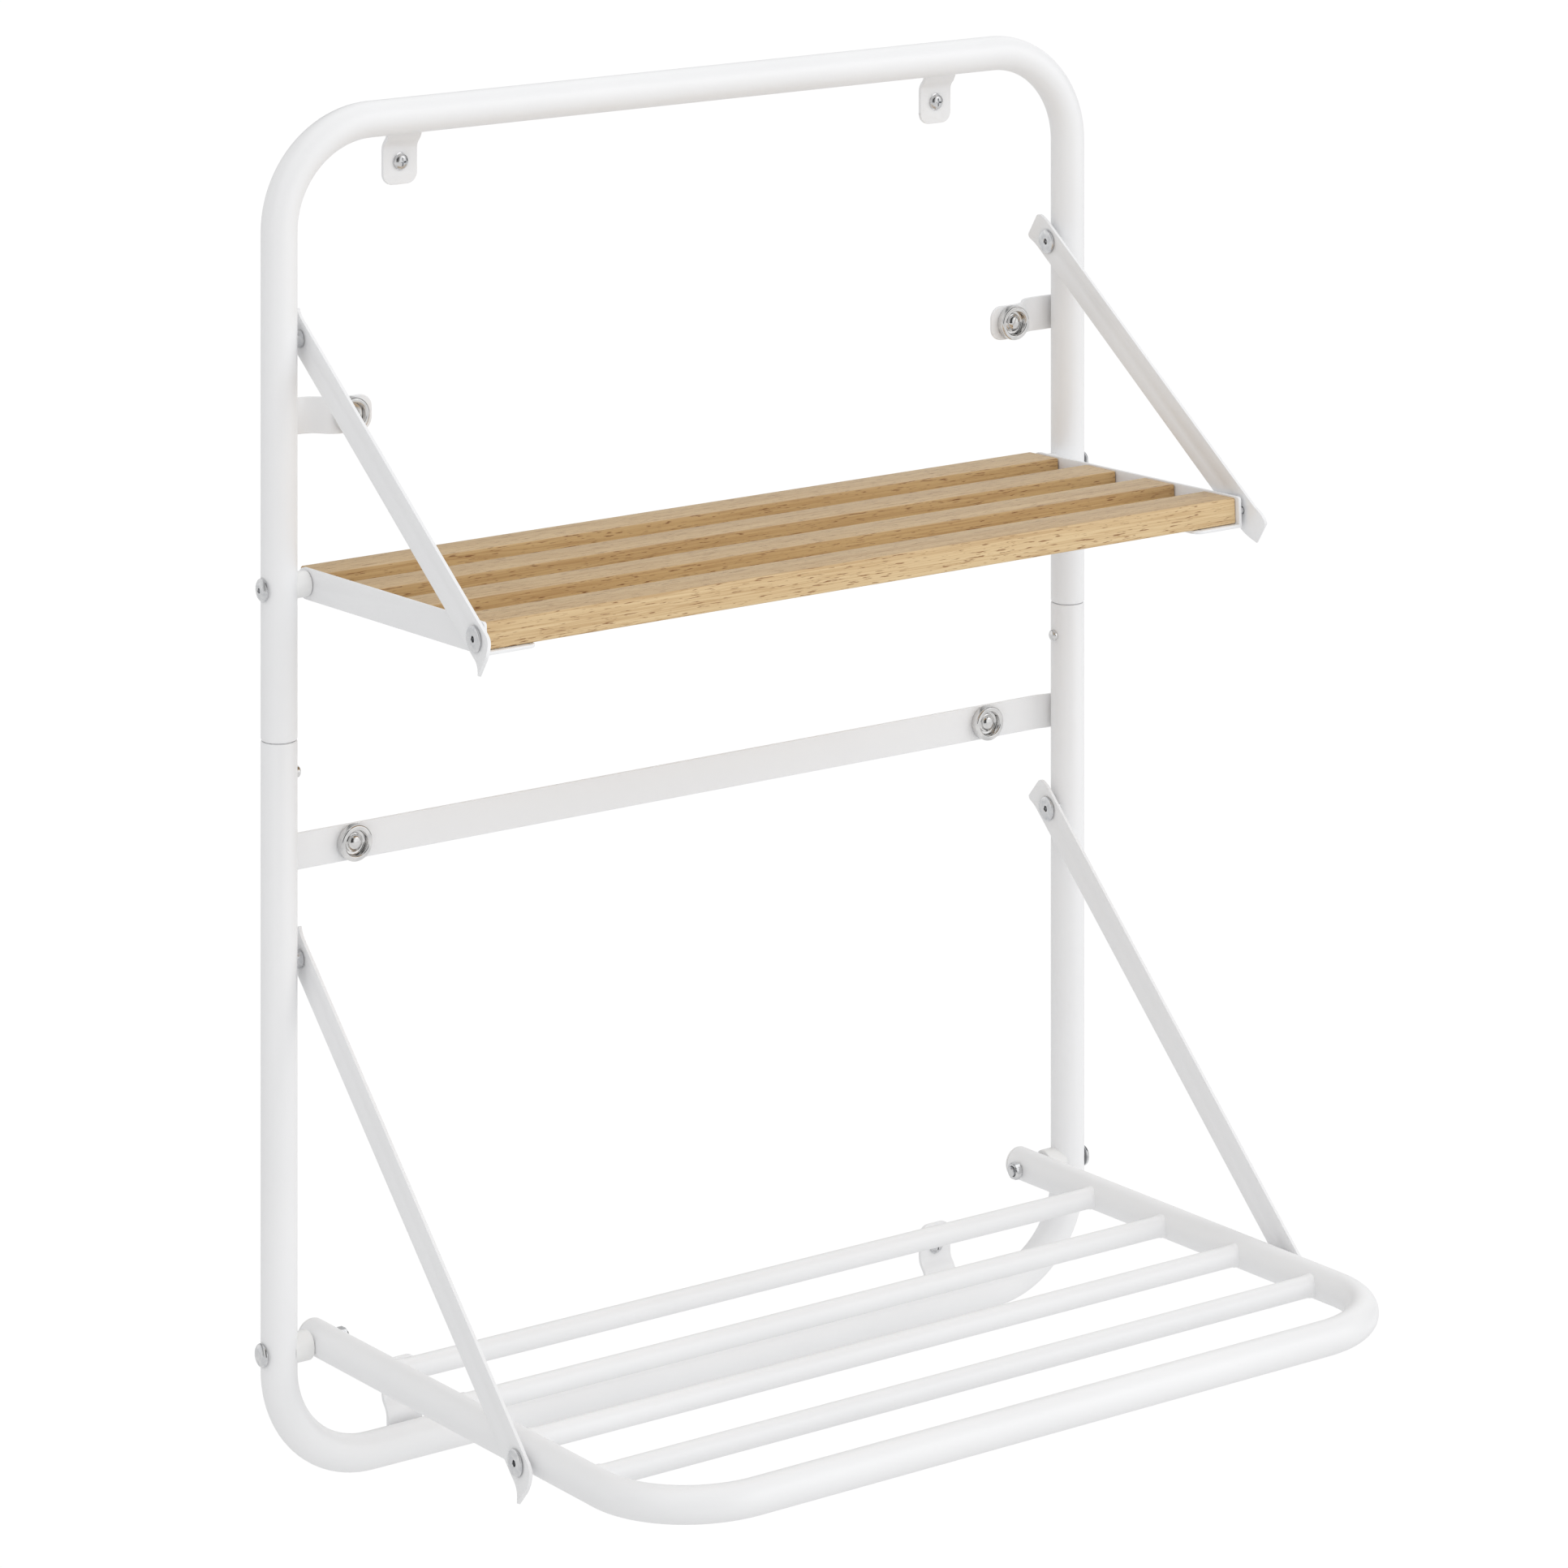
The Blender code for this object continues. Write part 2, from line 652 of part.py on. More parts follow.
def make_strut(label, side_name, side, top_z, foot, tier_outer_x, white, steel):
    """Strut from its rivet on the upright to its rivet on the tier, at foot (y, z)."""
    run, drop = AXIS_Y - foot[0], top_z - foot[1]
    name = f"{label}_strut_{side_name}"
    strut = make_object(name, mirrored(strut_shape(hypot(run, drop)), side), white)
    strut.location = (0, AXIS_Y, top_z)
    strut.rotation_euler = (-atan2(run, drop), 0, 0)
    soften(strut, 0.0004, 1)
    corner = mirrored(foot_cutter(hypot(run, drop)), side)
    change(strut, make_cutter(f"{name}_corner", corner, strut))
    for end, (y, z) in (("top", (AXIS_Y, top_z)), ("low", foot)):
        hole = mirrored(drill(INNER_X - 0.02, INNER_X + 0.01, y, z, RIVET_R + GAP), side)
        change(strut, make_cutter(f"{name}_{end}_hole", hole))
    make_top_rivet(f"{label}_strut_top_rivet_{side_name}", side, top_z, steel)
    low_name = f"{label}_strut_low_rivet_{side_name}"
    make_low_rivet(low_name, side, foot[0], foot[1], tier_outer_x, steel)


def make_struts(white, steel):
    tiers = (
        ("shelf", SHELF_Z, SHELF_STRUT_Z, SHELF_STRUT_REACH, PLATE_OUTER_X),
        ("rack", RACK_Z, RACK_STRUT_Z, RACK_STRUT_REACH, RACK_TUBE_X + RACK_TUBE_R),
    )
    for label, pivot_z, top_z, reach, tier_x in tiers:
        foot = (AXIS_Y - reach * cos(TILT), pivot_z + reach * sin(TILT))
        for side_name, side in SIDES:
            make_strut(label, side_name, side, top_z, foot, tier_x, white, steel)


# ---- shelf, built level about its hinge and tilted by its parent ----


def plate_outline():
    """(y, z) outline of a side plate: round at the rear, square at the front."""
    middle = (PLATE_TOP + PLATE_LOW) / 2
    radius = (PLATE_TOP - PLATE_LOW) / 2
    rear = arc((-(PLATE_REAR + radius), middle), radius, -pi / 2, pi / 2, 8)
    return rear + [(-PLATE_FRONT, PLATE_TOP), (-PLATE_FRONT, PLATE_LOW)]


def make_side_plates(white, hinge):
    """Angle bars: an upright plate on the pivot, and a flange below that carries the slats."""
    for side_name, side in SIDES:
        inner = PLATE_OUTER_X - PLATE_THICK
        plate = mirrored(slab(plate_outline(), inner, PLATE_OUTER_X), side)
        plate_obj = make_object(f"shelf_side_plate_{side_name}", plate, white, hinge)
        flange_low = (PLATE_OUTER_X - FLANGE_WIDTH, -PLATE_FRONT, PLATE_LOW)
        flange_high = (inner + 0.0012, 0.002, PLATE_LOW + PLATE_THICK)
        flange = mirrored(box(flange_low, flange_high), side)
        change(plate_obj, make_cutter(f"shelf_flange_{side_name}", flange, hinge), "UNION")
        hole = mirrored(drill(inner - 0.005, PLATE_OUTER_X + 0.005, 0, 0, PIVOT_R + GAP), side)
        change(plate_obj, make_cutter(f"shelf_plate_hole_{side_name}", hole, hinge))
        for i in range(SLAT_COUNT):
            place = (side * slat_screw_x(), -slat_centre(i), PLATE_LOW)
            hole = upright_drill(place, 0.0021, -0.003, 0.005)
            change(plate_obj, make_cutter(f"flange_hole_{side_name}_{i + 1}", hole, hinge))


def slat_centre(index):
    return SLAT_FIRST + SLAT_PITCH * index


def slat_screw_x():
    return PLATE_OUTER_X - FLANGE_WIDTH / 2


def upright_drill(place, radius, low, high):
    """Cylinder along Z used to cut a hole."""
    shape = turned([(low, 0), (low, radius), (high, radius), (high, 0)], 8)
    bmesh.ops.rotate(shape, verts=shape.verts, matrix=Matrix.Rotation(-pi / 2, 3, "Y"))
    return moved(shape, place)


def make_slats(wood, hinge):
    end_x = PLATE_OUTER_X - PLATE_THICK - GAP
    base = PLATE_LOW + PLATE_THICK + GAP
    for i in range(SLAT_COUNT):
        middle = -slat_centre(i)
        low = (-end_x, middle - SLAT_WIDTH / 2, base)
        high = (end_x, middle + SLAT_WIDTH / 2, base + SLAT_THICK)
        slat = make_object(f"shelf_slat_{i + 1}", box(low, high), wood, hinge)
        soften(slat, 0.002, 2)
        for side_name, side in SIDES:
            hole = upright_drill((side * slat_screw_x(), middle, PLATE_LOW), 0.0021, 0, 0.0125)
            change(slat, make_cutter(f"slat_{i + 1}_pilot_{side_name}", hole, hinge))
            if i == 0:
                pocket = mirrored(drill(end_x - 0.0035, end_x + 0.003, 0, 0, 0.0056), side)
                change(slat, make_cutter(f"slat_pocket_{side_name}", pocket, hinge))


# ---- rod rack, built level about its hinge and tilted by its parent ----


def make_rack_tube(white, hinge):
    turn_x = RACK_TUBE_X - CORNER_R
    turn_y = RACK_DEPTH - CORNER_R
    right = arc((turn_x, turn_y), CORNER_R, 0, pi / 2, 6)
    left = [(-x, y) for x, y in reversed(right)]
    flat = [(RACK_TUBE_X, -RACK_REAR)] + right + left + [(-RACK_TUBE_X, -RACK_REAR)]
    path = [Vector((x, -y, 0)) for x, y in flat]
    sizes = [(RACK_TUBE_R, RACK_TUBE_BORE)] * len(path)
    tube = make_object("rack_tube", tube_along(path, Vector((0, 0, 1)), sizes), white, hinge)
    for side_name, side in SIDES:
        reach = RACK_TUBE_R + 0.006
        hole = drill(RACK_TUBE_X - reach, RACK_TUBE_X + reach, 0, 0, PIVOT_R + GAP)
        change(tube, make_cutter(f"rack_tube_hole_{side_name}", mirrored(hole, side), hinge))


def make_rods(white, hinge):
    end_x = RACK_TUBE_X - RACK_TUBE_R - GAP
    profile = [(-end_x, 0), (-end_x, ROD_R), (end_x, ROD_R), (end_x, 0)]
    for i in range(ROD_COUNT):
        place = (0, -(ROD_FIRST + ROD_PITCH * i), 0)
        make_object(f"rack_rod_{i + 1}", moved(turned(profile, 12), place), white, hinge)


def make_rack_caps(white, hinge):
    """Round plastic plugs in the rear ends of the rack tube."""
    face = RACK_REAR + GAP
    plug = RACK_TUBE_BORE - GAP
    profile = [(RACK_REAR - 0.004, 0), (RACK_REAR - 0.004, plug), (face, plug), (face, RACK_TUBE_R)]
    profile += dome(face + 0.0006, 0.0036, RACK_TUBE_R)
    turn = Matrix.Rotation(pi / 2, 3, "Z")
    for side_name, side in SIDES:
        cap = turned(profile, 16)
        bmesh.ops.rotate(cap, verts=cap.verts, matrix=turn)
        make_object(f"rack_end_cap_{side_name}", moved(cap, (side * RACK_TUBE_X, 0, 0)), white, hinge)


def main():
    clear_scene()
    white = make_material("powder_coated_steel", WHITE, 0.42, 0.0)
    plastic = make_material("white_plastic", WHITE, 0.35, 0.0)
    steel = make_material("plated_steel", STEEL, 0.22, 1.0)
    wood = make_material("oak", OAK, 0.55, 0.0)

    upper = make_upper_frame(white)
    lower = make_lower_frame(white)
    drill_frame(upper, lower)
    make_wall_tabs(white)
    make_wall_screws(steel)
    make_crossbar(white)
    make_catches(white)
    make_magnets(steel)
    make_snap_buttons(steel)
    make_tier_pivots(plastic, steel)
    make_struts(white, steel)

    shelf_hinge = pivot("shelf_hinge", SHELF_Z)
    make_side_plates(white, shelf_hinge)
    make_slats(wood, shelf_hinge)

    rack_hinge = pivot("rack_hinge", RACK_Z)
    make_rack_tube(white, rack_hinge)
    make_rods(white, rack_hinge)
    make_rack_caps(plastic, rack_hinge)


main()
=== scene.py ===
"""Looks of the wall-mounted folding drying rack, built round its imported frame.

Metres, +Z up, the wall at Y = 0. Places come from the frame's boxes, joints and mounts where they
can, and small sizes that the frame doesn't give are named or local values here.
"""

import json
from math import atan2, cos, hypot, pi, radians, sin

import bmesh
import bpy
from mathutils import Matrix, Vector


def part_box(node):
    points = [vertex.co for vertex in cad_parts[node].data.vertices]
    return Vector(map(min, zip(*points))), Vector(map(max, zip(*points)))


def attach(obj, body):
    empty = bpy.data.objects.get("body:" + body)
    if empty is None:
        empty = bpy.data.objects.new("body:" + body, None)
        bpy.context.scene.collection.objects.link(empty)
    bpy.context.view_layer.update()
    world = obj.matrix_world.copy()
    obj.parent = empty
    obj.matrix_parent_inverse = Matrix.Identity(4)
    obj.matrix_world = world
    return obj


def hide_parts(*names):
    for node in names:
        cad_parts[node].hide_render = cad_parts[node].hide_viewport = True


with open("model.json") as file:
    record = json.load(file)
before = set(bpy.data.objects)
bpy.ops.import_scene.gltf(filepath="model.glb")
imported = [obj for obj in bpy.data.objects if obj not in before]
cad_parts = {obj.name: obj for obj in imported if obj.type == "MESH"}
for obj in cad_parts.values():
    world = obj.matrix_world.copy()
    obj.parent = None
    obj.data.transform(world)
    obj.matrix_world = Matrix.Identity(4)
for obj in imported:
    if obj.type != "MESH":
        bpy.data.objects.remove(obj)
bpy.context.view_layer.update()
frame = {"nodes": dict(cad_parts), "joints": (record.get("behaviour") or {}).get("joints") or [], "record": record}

SIDES = (("left", -1), ("right", 1))
TUBE_SIDES = 64
ROUND_SIDES = 48
BEND_STEPS = 24

# ---- sizes read from the frame ----

low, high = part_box("upper_frame_tube")
TUBE_R = (high.y - low.y) / 2
AXIS_Y = (high.y + low.y) / 2
UPRIGHT_X = high.x - TUBE_R
RAIL_HIGH_Z = high.z - TUBE_R
SPIGOT_END_Z = low.z
RAIL_LOW_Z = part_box("lower_frame_tube")[0].z + TUBE_R
SPLIT_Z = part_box("lower_frame_tube")[1].z
INNER_X = UPRIGHT_X - TUBE_R
TUBE_BORE = TUBE_R - 0.0012
CORNER_R = 0.062
FRAME_BACK = AXIS_Y + TUBE_R

JOINTS = {joint["name"]: joint for joint in frame["joints"]}
MOUNTS = {mount["name"]: mount for mount in frame["record"]["mounts"]}
SHELF_Z = JOINTS["shelf_fold"]["pos_m"][2]
RACK_Z = JOINTS["rack_fold"]["pos_m"][2]
TILT = atan2(MOUNTS["shelf_surface"]["axis"][1], MOUNTS["shelf_surface"]["axis"][2])

PLATE_OUTER_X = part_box("shelf_side_plate_right")[1].x
FLANGE_INNER_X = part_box("shelf_side_plate_right")[0].x
SHEET = 0.002  # thickness of the strips and angle bars
RACK_OUTER_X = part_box("rack_tube")[1].x
ROD_END_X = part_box("rack_rod_1")[1].x  # 0.3 mm short of the tube, so the radius is 0.15 mm over
RACK_TUBE_R = (RACK_OUTER_X - ROD_END_X) / 2
RACK_TUBE_X = RACK_OUTER_X - RACK_TUBE_R
RACK_TUBE_BORE = RACK_TUBE_R - 0.0012
ROD_R = (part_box("rack_rod_1")[1].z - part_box("rack_rod_1")[0].z) / 2


def middle(node):
    """Centre of a node's box."""
    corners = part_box(node)
    return (corners[0] + corners[1]) / 2


# ---- mesh helpers ----


def arc(centre, radius, start, end, steps):
    """Points of an arc in a plane, angles in radians, both ends included."""
    turns = [start + (end - start) * i / steps for i in range(steps + 1)]
    return [(centre[0] + radius * cos(a), centre[1] + radius * sin(a)) for a in turns]


def rounded(points, radius, steps=6):
    """Open line with its inner corners turned into curves."""
    out = [points[0]]
    for before, corner, after in zip(points, points[1:], points[2:]):
        a, b, c = Vector(before), Vector(corner), Vector(after)
        reach = min(radius, (a - b).length * 0.48, (c - b).length * 0.48)
        start = b + (a - b).normalized() * reach
        end = b + (c - b).normalized() * reach
        for i in range(steps + 1):
            t = i / steps
            out.append(tuple((1 - t) ** 2 * start + 2 * t * (1 - t) * b + t * t * end))
    return out + [points[-1]]


def thick_line(points, thick):
    """Outline of a strip: the line, and the line offset to its left."""
    offset = []
    for i, point in enumerate(points):
        before = points[max(i - 1, 0)]
        after = points[min(i + 1, len(points) - 1)]
        dx, dy = after[0] - before[0], after[1] - before[1]
        scale = thick / hypot(dx, dy)
        offset.append((point[0] - dy * scale, point[1] + dx * scale))
    return points + offset[::-1]


def bridge(shape, first, second):
    count = len(first)
    for i in range(count):
        shape.faces.new((first[i], first[(i + 1) % count], second[(i + 1) % count], second[i]))


def slab(outline, start, end, axis):
    """Extrude a plane outline between two places along an axis."""
    place = {
        "X": lambda u, v, w: (w, u, v),
        "Y": lambda u, v, w: (u, w, v),
        "Z": lambda u, v, w: (u, v, w),
    }[axis]
    shape = bmesh.new()
    first = [shape.verts.new(place(u, v, start)) for u, v in outline]
    second = [shape.verts.new(place(u, v, end)) for u, v in outline]
    bridge(shape, first, second)
    shape.faces.new(first)
    shape.faces.new(second)
    return shape


def turned(profile, sides=ROUND_SIDES, hollow=False):
    """Solid turned about X from (x, radius) points; hollow closes the profile into a ring."""
    shape = bmesh.new()
    rows = []
    for x, radius in profile:
        if radius == 0:
            rows.append([shape.verts.new((x, 0, 0))])
            continue
        angles = [2 * pi * i / sides for i in range(sides)]
        rows.append([shape.verts.new((x, radius * cos(a), radius * sin(a))) for a in angles])
    pairs = list(zip(rows, rows[1:]))
    if hollow:
        pairs.append((rows[-1], rows[0]))
    for first, second in pairs:
        if len(first) == 1 or len(second) == 1:
            tip, loop = (first[0], second) if len(first) == 1 else (second[0], first)
            for i in range(sides):
                shape.faces.new((tip, loop[i], loop[(i + 1) % sides]))
        else:
            bridge(shape, first, second)
    return shape


def tube_along(path, across, sizes, sides=TUBE_SIDES):
    """Hollow tube through the path's points; sizes gives (outer, bore) radii at each point."""
    shape = bmesh.new()
    skins = ([], [])
    last = len(path) - 1
    for i, point in enumerate(path):
        before = (point - path[max(i - 1, 0)]).normalized()
        after = (path[min(i + 1, last)] - point).normalized()
        side = (before + after).cross(across).normalized()
        for skin, radius in zip(skins, sizes[i]):
            angles = [2 * pi * k / sides for k in range(sides)]
            spots = [point + radius * (cos(a) * side + sin(a) * across) for a in angles]
            skin.append([shape.verts.new(spot) for spot in spots])
    for skin in skins:
        for first, second in zip(skin, skin[1:]):
            bridge(shape, first, second)
    bridge(shape, skins[0][0], skins[1][0])
    bridge(shape, skins[0][-1], skins[1][-1])
    return shape


def dome(start, height, radius, steps=10):
    """(x, radius) points of a cap that starts full width at start and closes on the axis."""
    turns = [pi / 2 * i / steps for i in range(steps)]
    points = [(start + height * sin(a), radius * cos(a)) for a in turns]
    return points + [(start + height, 0)]


def change(shape, side=1, turn=None, place=(0, 0, 0)):
    """Turn a shape, mirror it to the left side where side is -1, then move it into place."""
    if turn:
        bmesh.ops.transform(shape, matrix=turn, verts=shape.verts)
    if side < 0:
        bmesh.ops.scale(shape, verts=shape.verts, vec=(-1, 1, 1))
    bmesh.ops.translate(shape, verts=shape.verts, vec=place)
    return shape


FACING_OUT = Matrix.Rotation(-pi / 2, 4, "Z")  # turns +X to -Y, away from the wall
FACING_BACK = Matrix.Rotation(pi / 2, 4, "Z")  # turns +X to +Y, towards the wall
FACING_UP = Matrix.Rotation(-pi / 2, 4, "Y")  # turns +X to +Z


def on_tier(pivot_z):
    """From a tier drawn level about its hinge to the tier as it rests."""
    return Matrix.Translation((0, AXIS_Y, pivot_z)) @ Matrix.Rotation(-TILT, 4, "X")


def mesh_object(name, shape):
    bmesh.ops.recalc_face_normals(shape, faces=shape.faces)
    mesh = bpy.data.meshes.new(name)
    shape.to_mesh(mesh)
    shape.free()
    obj = bpy.data.objects.new(name, mesh)
    bpy.context.scene.collection.objects.link(obj)
    return obj


def soften(obj, width, segments=3, angle=40):
    """Round the sharp edges."""
    modifier = obj.modifiers.new("edges", "BEVEL")
    modifier.width = width
    modifier.segments = segments
    modifier.limit_method = "ANGLE"
    modifier.angle_limit = radians(angle)
    modifier.harden_normals = False


def cut(obj, *shapes):
    """Boolean each shape out of obj."""
    for shape in shapes:
        cutter = mesh_object("cutter", shape)
        modifier = obj.modifiers.new("cut", "BOOLEAN")
        modifier.operation = "DIFFERENCE"
        modifier.solver = "EXACT"
        modifier.object = cutter
        apply_modifiers(obj)
        bpy.data.objects.remove(cutter)


def join(obj, shape):
    """Boolean one shape onto obj."""
    other = mesh_object("addition", shape)
    modifier = obj.modifiers.new("join", "BOOLEAN")
    modifier.operation = "UNION"
    modifier.solver = "EXACT"
    modifier.object = other
    apply_modifiers(obj)
    bpy.data.objects.remove(other)


def apply_modifiers(obj):
    graph = bpy.context.evaluated_depsgraph_get()
    mesh = bpy.data.meshes.new_from_object(obj.evaluated_get(graph))
    obj.modifiers.clear()
    old = obj.data
    obj.data = mesh
    bpy.data.meshes.remove(old)


def finish_piece(obj, material, body, slot, *nodes, smooth=32):
    """Shade a piece, give it its material, and tie it to its body and CAD nodes; slot is not used."""
    apply_modifiers(obj)
    obj.data.materials.clear()
    obj.data.materials.append(material)
    obj.data.shade_smooth()
    obj.data.set_sharp_from_angle(angle=radians(smooth))
    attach(obj, body)
    if nodes:
        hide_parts(*nodes)
    return obj


# ---- materials ----


class Nodes:
    """Short calls for building one material's node tree."""

    def __init__(self, name, roughness, metallic=0.0):
        self.material = bpy.data.materials.new(name)
        self.material.use_nodes = True
        self.tree = self.material.node_tree
        self.shader = self.tree.nodes["Principled BSDF"]
        self.shader.inputs["Roughness"].default_value = roughness
        self.shader.inputs["Metallic"].default_value = metallic
        self.place = self.tree.nodes.new("ShaderNodeTexCoord").outputs["Object"]

    def add(self, kind, **values):
        node = self.tree.nodes.new(kind)
        for key, value in values.items():
            setattr(node, key, value)
        return node

    def link(self, source, target):
        self.tree.links.new(source, target)

    def stretched(self, scale, offset=(0, 0, 0)):
        """Object coordinates scaled along each axis."""
        mapping = self.add("ShaderNodeMapping")
        mapping.inputs["Scale"].default_value = scale
        mapping.inputs["Location"].default_value = offset
        self.link(self.place, mapping.inputs["Vector"])
        return mapping.outputs["Vector"]

    def noise(self, vector, scale, detail=2.0, distortion=0.0):
        node = self.add("ShaderNodeTexNoise")
        node.inputs["Scale"].default_value = scale
        node.inputs["Detail"].default_value = detail
        node.inputs["Distortion"].default_value = distortion
        self.link(vector, node.inputs["Vector"])
        return node.outputs["Fac"]

    def ramp(self, factor, *stops):
        """Colour ramp through (position, colour) stops."""
        node = self.add("ShaderNodeValToRGB")
        elements = node.color_ramp.elements
        while len(elements) < len(stops):
            elements.new(0.5)
        for element, (position, colour) in zip(elements, stops):
            element.position = position
            element.color = (*colour, 1)
        self.link(factor, node.inputs["Fac"])
        return node.outputs["Color"]

    def mix(self, factor, first, second, blend="MIX"):
        node = self.add("ShaderNodeMix", data_type="RGBA", blend_type=blend)
        sockets = (node.inputs["Factor"], node.inputs[6], node.inputs[7])
        for socket, value in zip(sockets, (factor, first, second)):
            if isinstance(value, (int, float, tuple)):
                socket.default_value = value
            else:
                self.link(value, socket)
        return node.outputs[2]

    def remap(self, value, start, end):
        node = self.add("ShaderNodeMapRange")
        node.inputs["To Min"].default_value = start
        node.inputs["To Max"].default_value = end
        self.link(value, node.inputs["Value"])
        return node.outputs["Result"]

    def upward(self):
        """1 on faces that look up at rest, fading to 0 on the sides."""
        split = self.add("ShaderNodeSeparateXYZ")
        self.link(self.add("ShaderNodeTexCoord").outputs["Normal"], split.inputs["Vector"])
        node = self.add("ShaderNodeMapRange")
        node.inputs["From Min"].default_value = 0.75
        node.inputs["From Max"].default_value = 0.98
        self.link(split.outputs["Z"], node.inputs["Value"])
        return node.outputs["Result"]

    def bump(self, height, strength, distance, after=None):
        node = self.add("ShaderNodeBump")
        node.inputs["Strength"].default_value = strength
        node.inputs["Distance"].default_value = distance
        self.link(height, node.inputs["Height"])
        if after:
            self.link(after, node.inputs["Normal"])
        self.link(node.outputs["Normal"], self.shader.inputs["Normal"])
        return node.outputs["Normal"]

    def colour(self, source):
        self.link(source, self.shader.inputs["Base Color"])

    def rough(self, source):
        self.link(source, self.shader.inputs["Roughness"])


def powder_coat():
    """Satin white powder coat: a fine orange peel, and a barely uneven tone and gloss."""
    n = Nodes("powder_coat", 0.4)
    drift = n.noise(n.place, 7, 3)
    n.colour(n.ramp(drift, (0.3, (0.855, 0.857, 0.865)), (0.7, (0.885, 0.887, 0.895))))
    speck = n.noise(n.place, 420, 3)
    n.rough(n.remap(speck, 0.3, 0.46))
    peel = n.noise(n.place, 650, 2)
    grit = n.noise(n.place, 2600, 1)
    n.bump(grit, 0.06, 0.0001, n.bump(peel, 0.10, 0.0001))
    n.shader.inputs["Coat Weight"].default_value = 0.25
    n.shader.inputs["Coat Roughness"].default_value = 0.28
    return n.material


def white_plastic():
    """Moulded white plastic with a faint spark-eroded grain."""
    n = Nodes("white_plastic", 0.36)
    drift = n.noise(n.place, 30, 2)
    n.colour(n.ramp(drift, (0.35, (0.82, 0.82, 0.815)), (0.65, (0.86, 0.86, 0.855))))
    grain = n.noise(n.place, 1800, 2)
    n.rough(n.remap(grain, 0.32, 0.48))
    n.bump(grain, 0.18, 0.00015)
    n.shader.inputs["Specular IOR Level"].default_value = 0.45
    return n.material


def zinc_steel():
    """Bright zinc plate: softly mottled, with fine turning marks."""
    n = Nodes("zinc_steel", 0.3, 1.0)
    mottle = n.noise(n.place, 260, 4, 0.6)
    n.colour(n.ramp(mottle, (0.3, (0.60, 0.61, 0.63)), (0.7, (0.80, 0.80, 0.80))))
    n.rough(n.remap(mottle, 0.14, 0.26))
    marks = n.noise(n.stretched((9000, 900, 900)), 1, 2)
    n.bump(marks, 0.1, 0.0001)
    return n.material


def bright_nickel():
    """Polished nickel with hairline scuffs."""
    n = Nodes("bright_nickel", 0.1, 1.0)
    haze = n.noise(n.place, 180, 4, 0.4)
    n.colour(n.ramp(haze, (0.3, (0.66, 0.66, 0.66)), (0.7, (0.86, 0.85, 0.84))))
    scuffs = n.noise(n.stretched((300, 4000, 500)), 1, 3)
    n.rough(n.remap(scuffs, 0.08, 0.16))
    n.bump(haze, 0.02, 0.0001)
    return n.material


def oak(name, seed, edge_light_and_shade):
    """Satin oak: growth bands, straight fibre and short dark pores; edge_light_and_shade is painted light and
    shade that tones its edges apart from its tops.
    """
    n = Nodes(name, 0.5)
    shift = (seed * 1.7, seed * 0.31, seed * 0.23)
    bands = n.noise(n.stretched((1.6, 60, 60), shift), 1, 3, 0.6)
    fibre = n.noise(n.stretched((16, 900, 900), shift), 1, 4, 0.2)
    pores = n.noise(n.stretched((110, 1500, 1500), shift), 1, 2, 0.1)
    rings = n.noise(n.stretched((4, 300, 300), shift), 1, 2, 1.6)
    tone = n.ramp(bands, (0.3, (0.66, 0.485, 0.30)), (0.5, (0.72, 0.55, 0.355)), (0.7, (0.78, 0.62, 0.42)))
    tone = n.mix(0.35, tone, n.ramp(fibre, (0.3, (0.60, 0.42, 0.24)), (0.65, (0.84, 0.69, 0.49))))
    lines = n.ramp(rings, (0.42, (1, 1, 1)), (0.48, (0.66, 0.52, 0.36)), (0.54, (1, 1, 1)))
    tone = n.mix(0.5, tone, lines, "MULTIPLY")
    pits = n.ramp(pores, (0.61, (0, 0, 0)), (0.67, (1, 1, 1)))
    tone = n.mix(pits, tone, (0.30, 0.15, 0.06, 1))
    # Painted light and shade by which way a face looks: the tops get one tone, the edges get the given edge tone.
    facing_light_and_shade = n.mix(n.upward(), edge_light_and_shade, (0.82, 0.76, 0.63, 1))
    n.colour(n.mix(1.0, tone, facing_light_and_shade, "MULTIPLY"))
    n.rough(n.remap(fibre, 0.42, 0.6))
    n.bump(pits, -0.4, 0.0003, n.bump(fibre, 0.2, 0.0003))
    n.shader.inputs["Coat Weight"].default_value = 0.15
    n.shader.inputs["Coat Roughness"].default_value = 0.35
    return n.material


WHITE = powder_coat()
PLASTIC = white_plastic()
ZINC = zinc_steel()
NICKEL = bright_nickel()


# ---- frame ----


def frame_path(rail_z, end_z, up):
    """Centre line of half the frame: leg, corner, rail, corner, leg. up is 1 for the upper half."""
    right = arc((UPRIGHT_X - CORNER_R, rail_z - up * CORNER_R), CORNER_R, 0, up * pi / 2, BEND_STEPS)
    left = [(-x, z) for x, z in reversed(right)]
    flat = [(UPRIGHT_X, end_z)] + right + left + [(-UPRIGHT_X, end_z)]
    return [Vector((x, AXIS_Y, z)) for x, z in flat]


def frame_half(name, rail_z, ends, up):
    """One bent tube whose legs run through ends: (z, outer radius, bore) from the free end inwards."""
    path = frame_path(rail_z, ends[-1][0], up)
    sizes = [(TUBE_R, TUBE_BORE)] * len(path)
    legs = []
    for x in (UPRIGHT_X, -UPRIGHT_X):
        legs.append([Vector((x, AXIS_Y, z)) for z, _, _ in ends[:-1]])
    leg_sizes = [(outer, bore) for _, outer, bore in ends[:-1]]
    path = legs[0] + path + legs[1][::-1]
    sizes = leg_sizes + sizes + leg_sizes[::-1]
    tube = mesh_object(name, tube_along(path, Vector((0, 1, 0)), sizes))
    finish_piece(tube, WHITE, "root", "powder_coat", name)


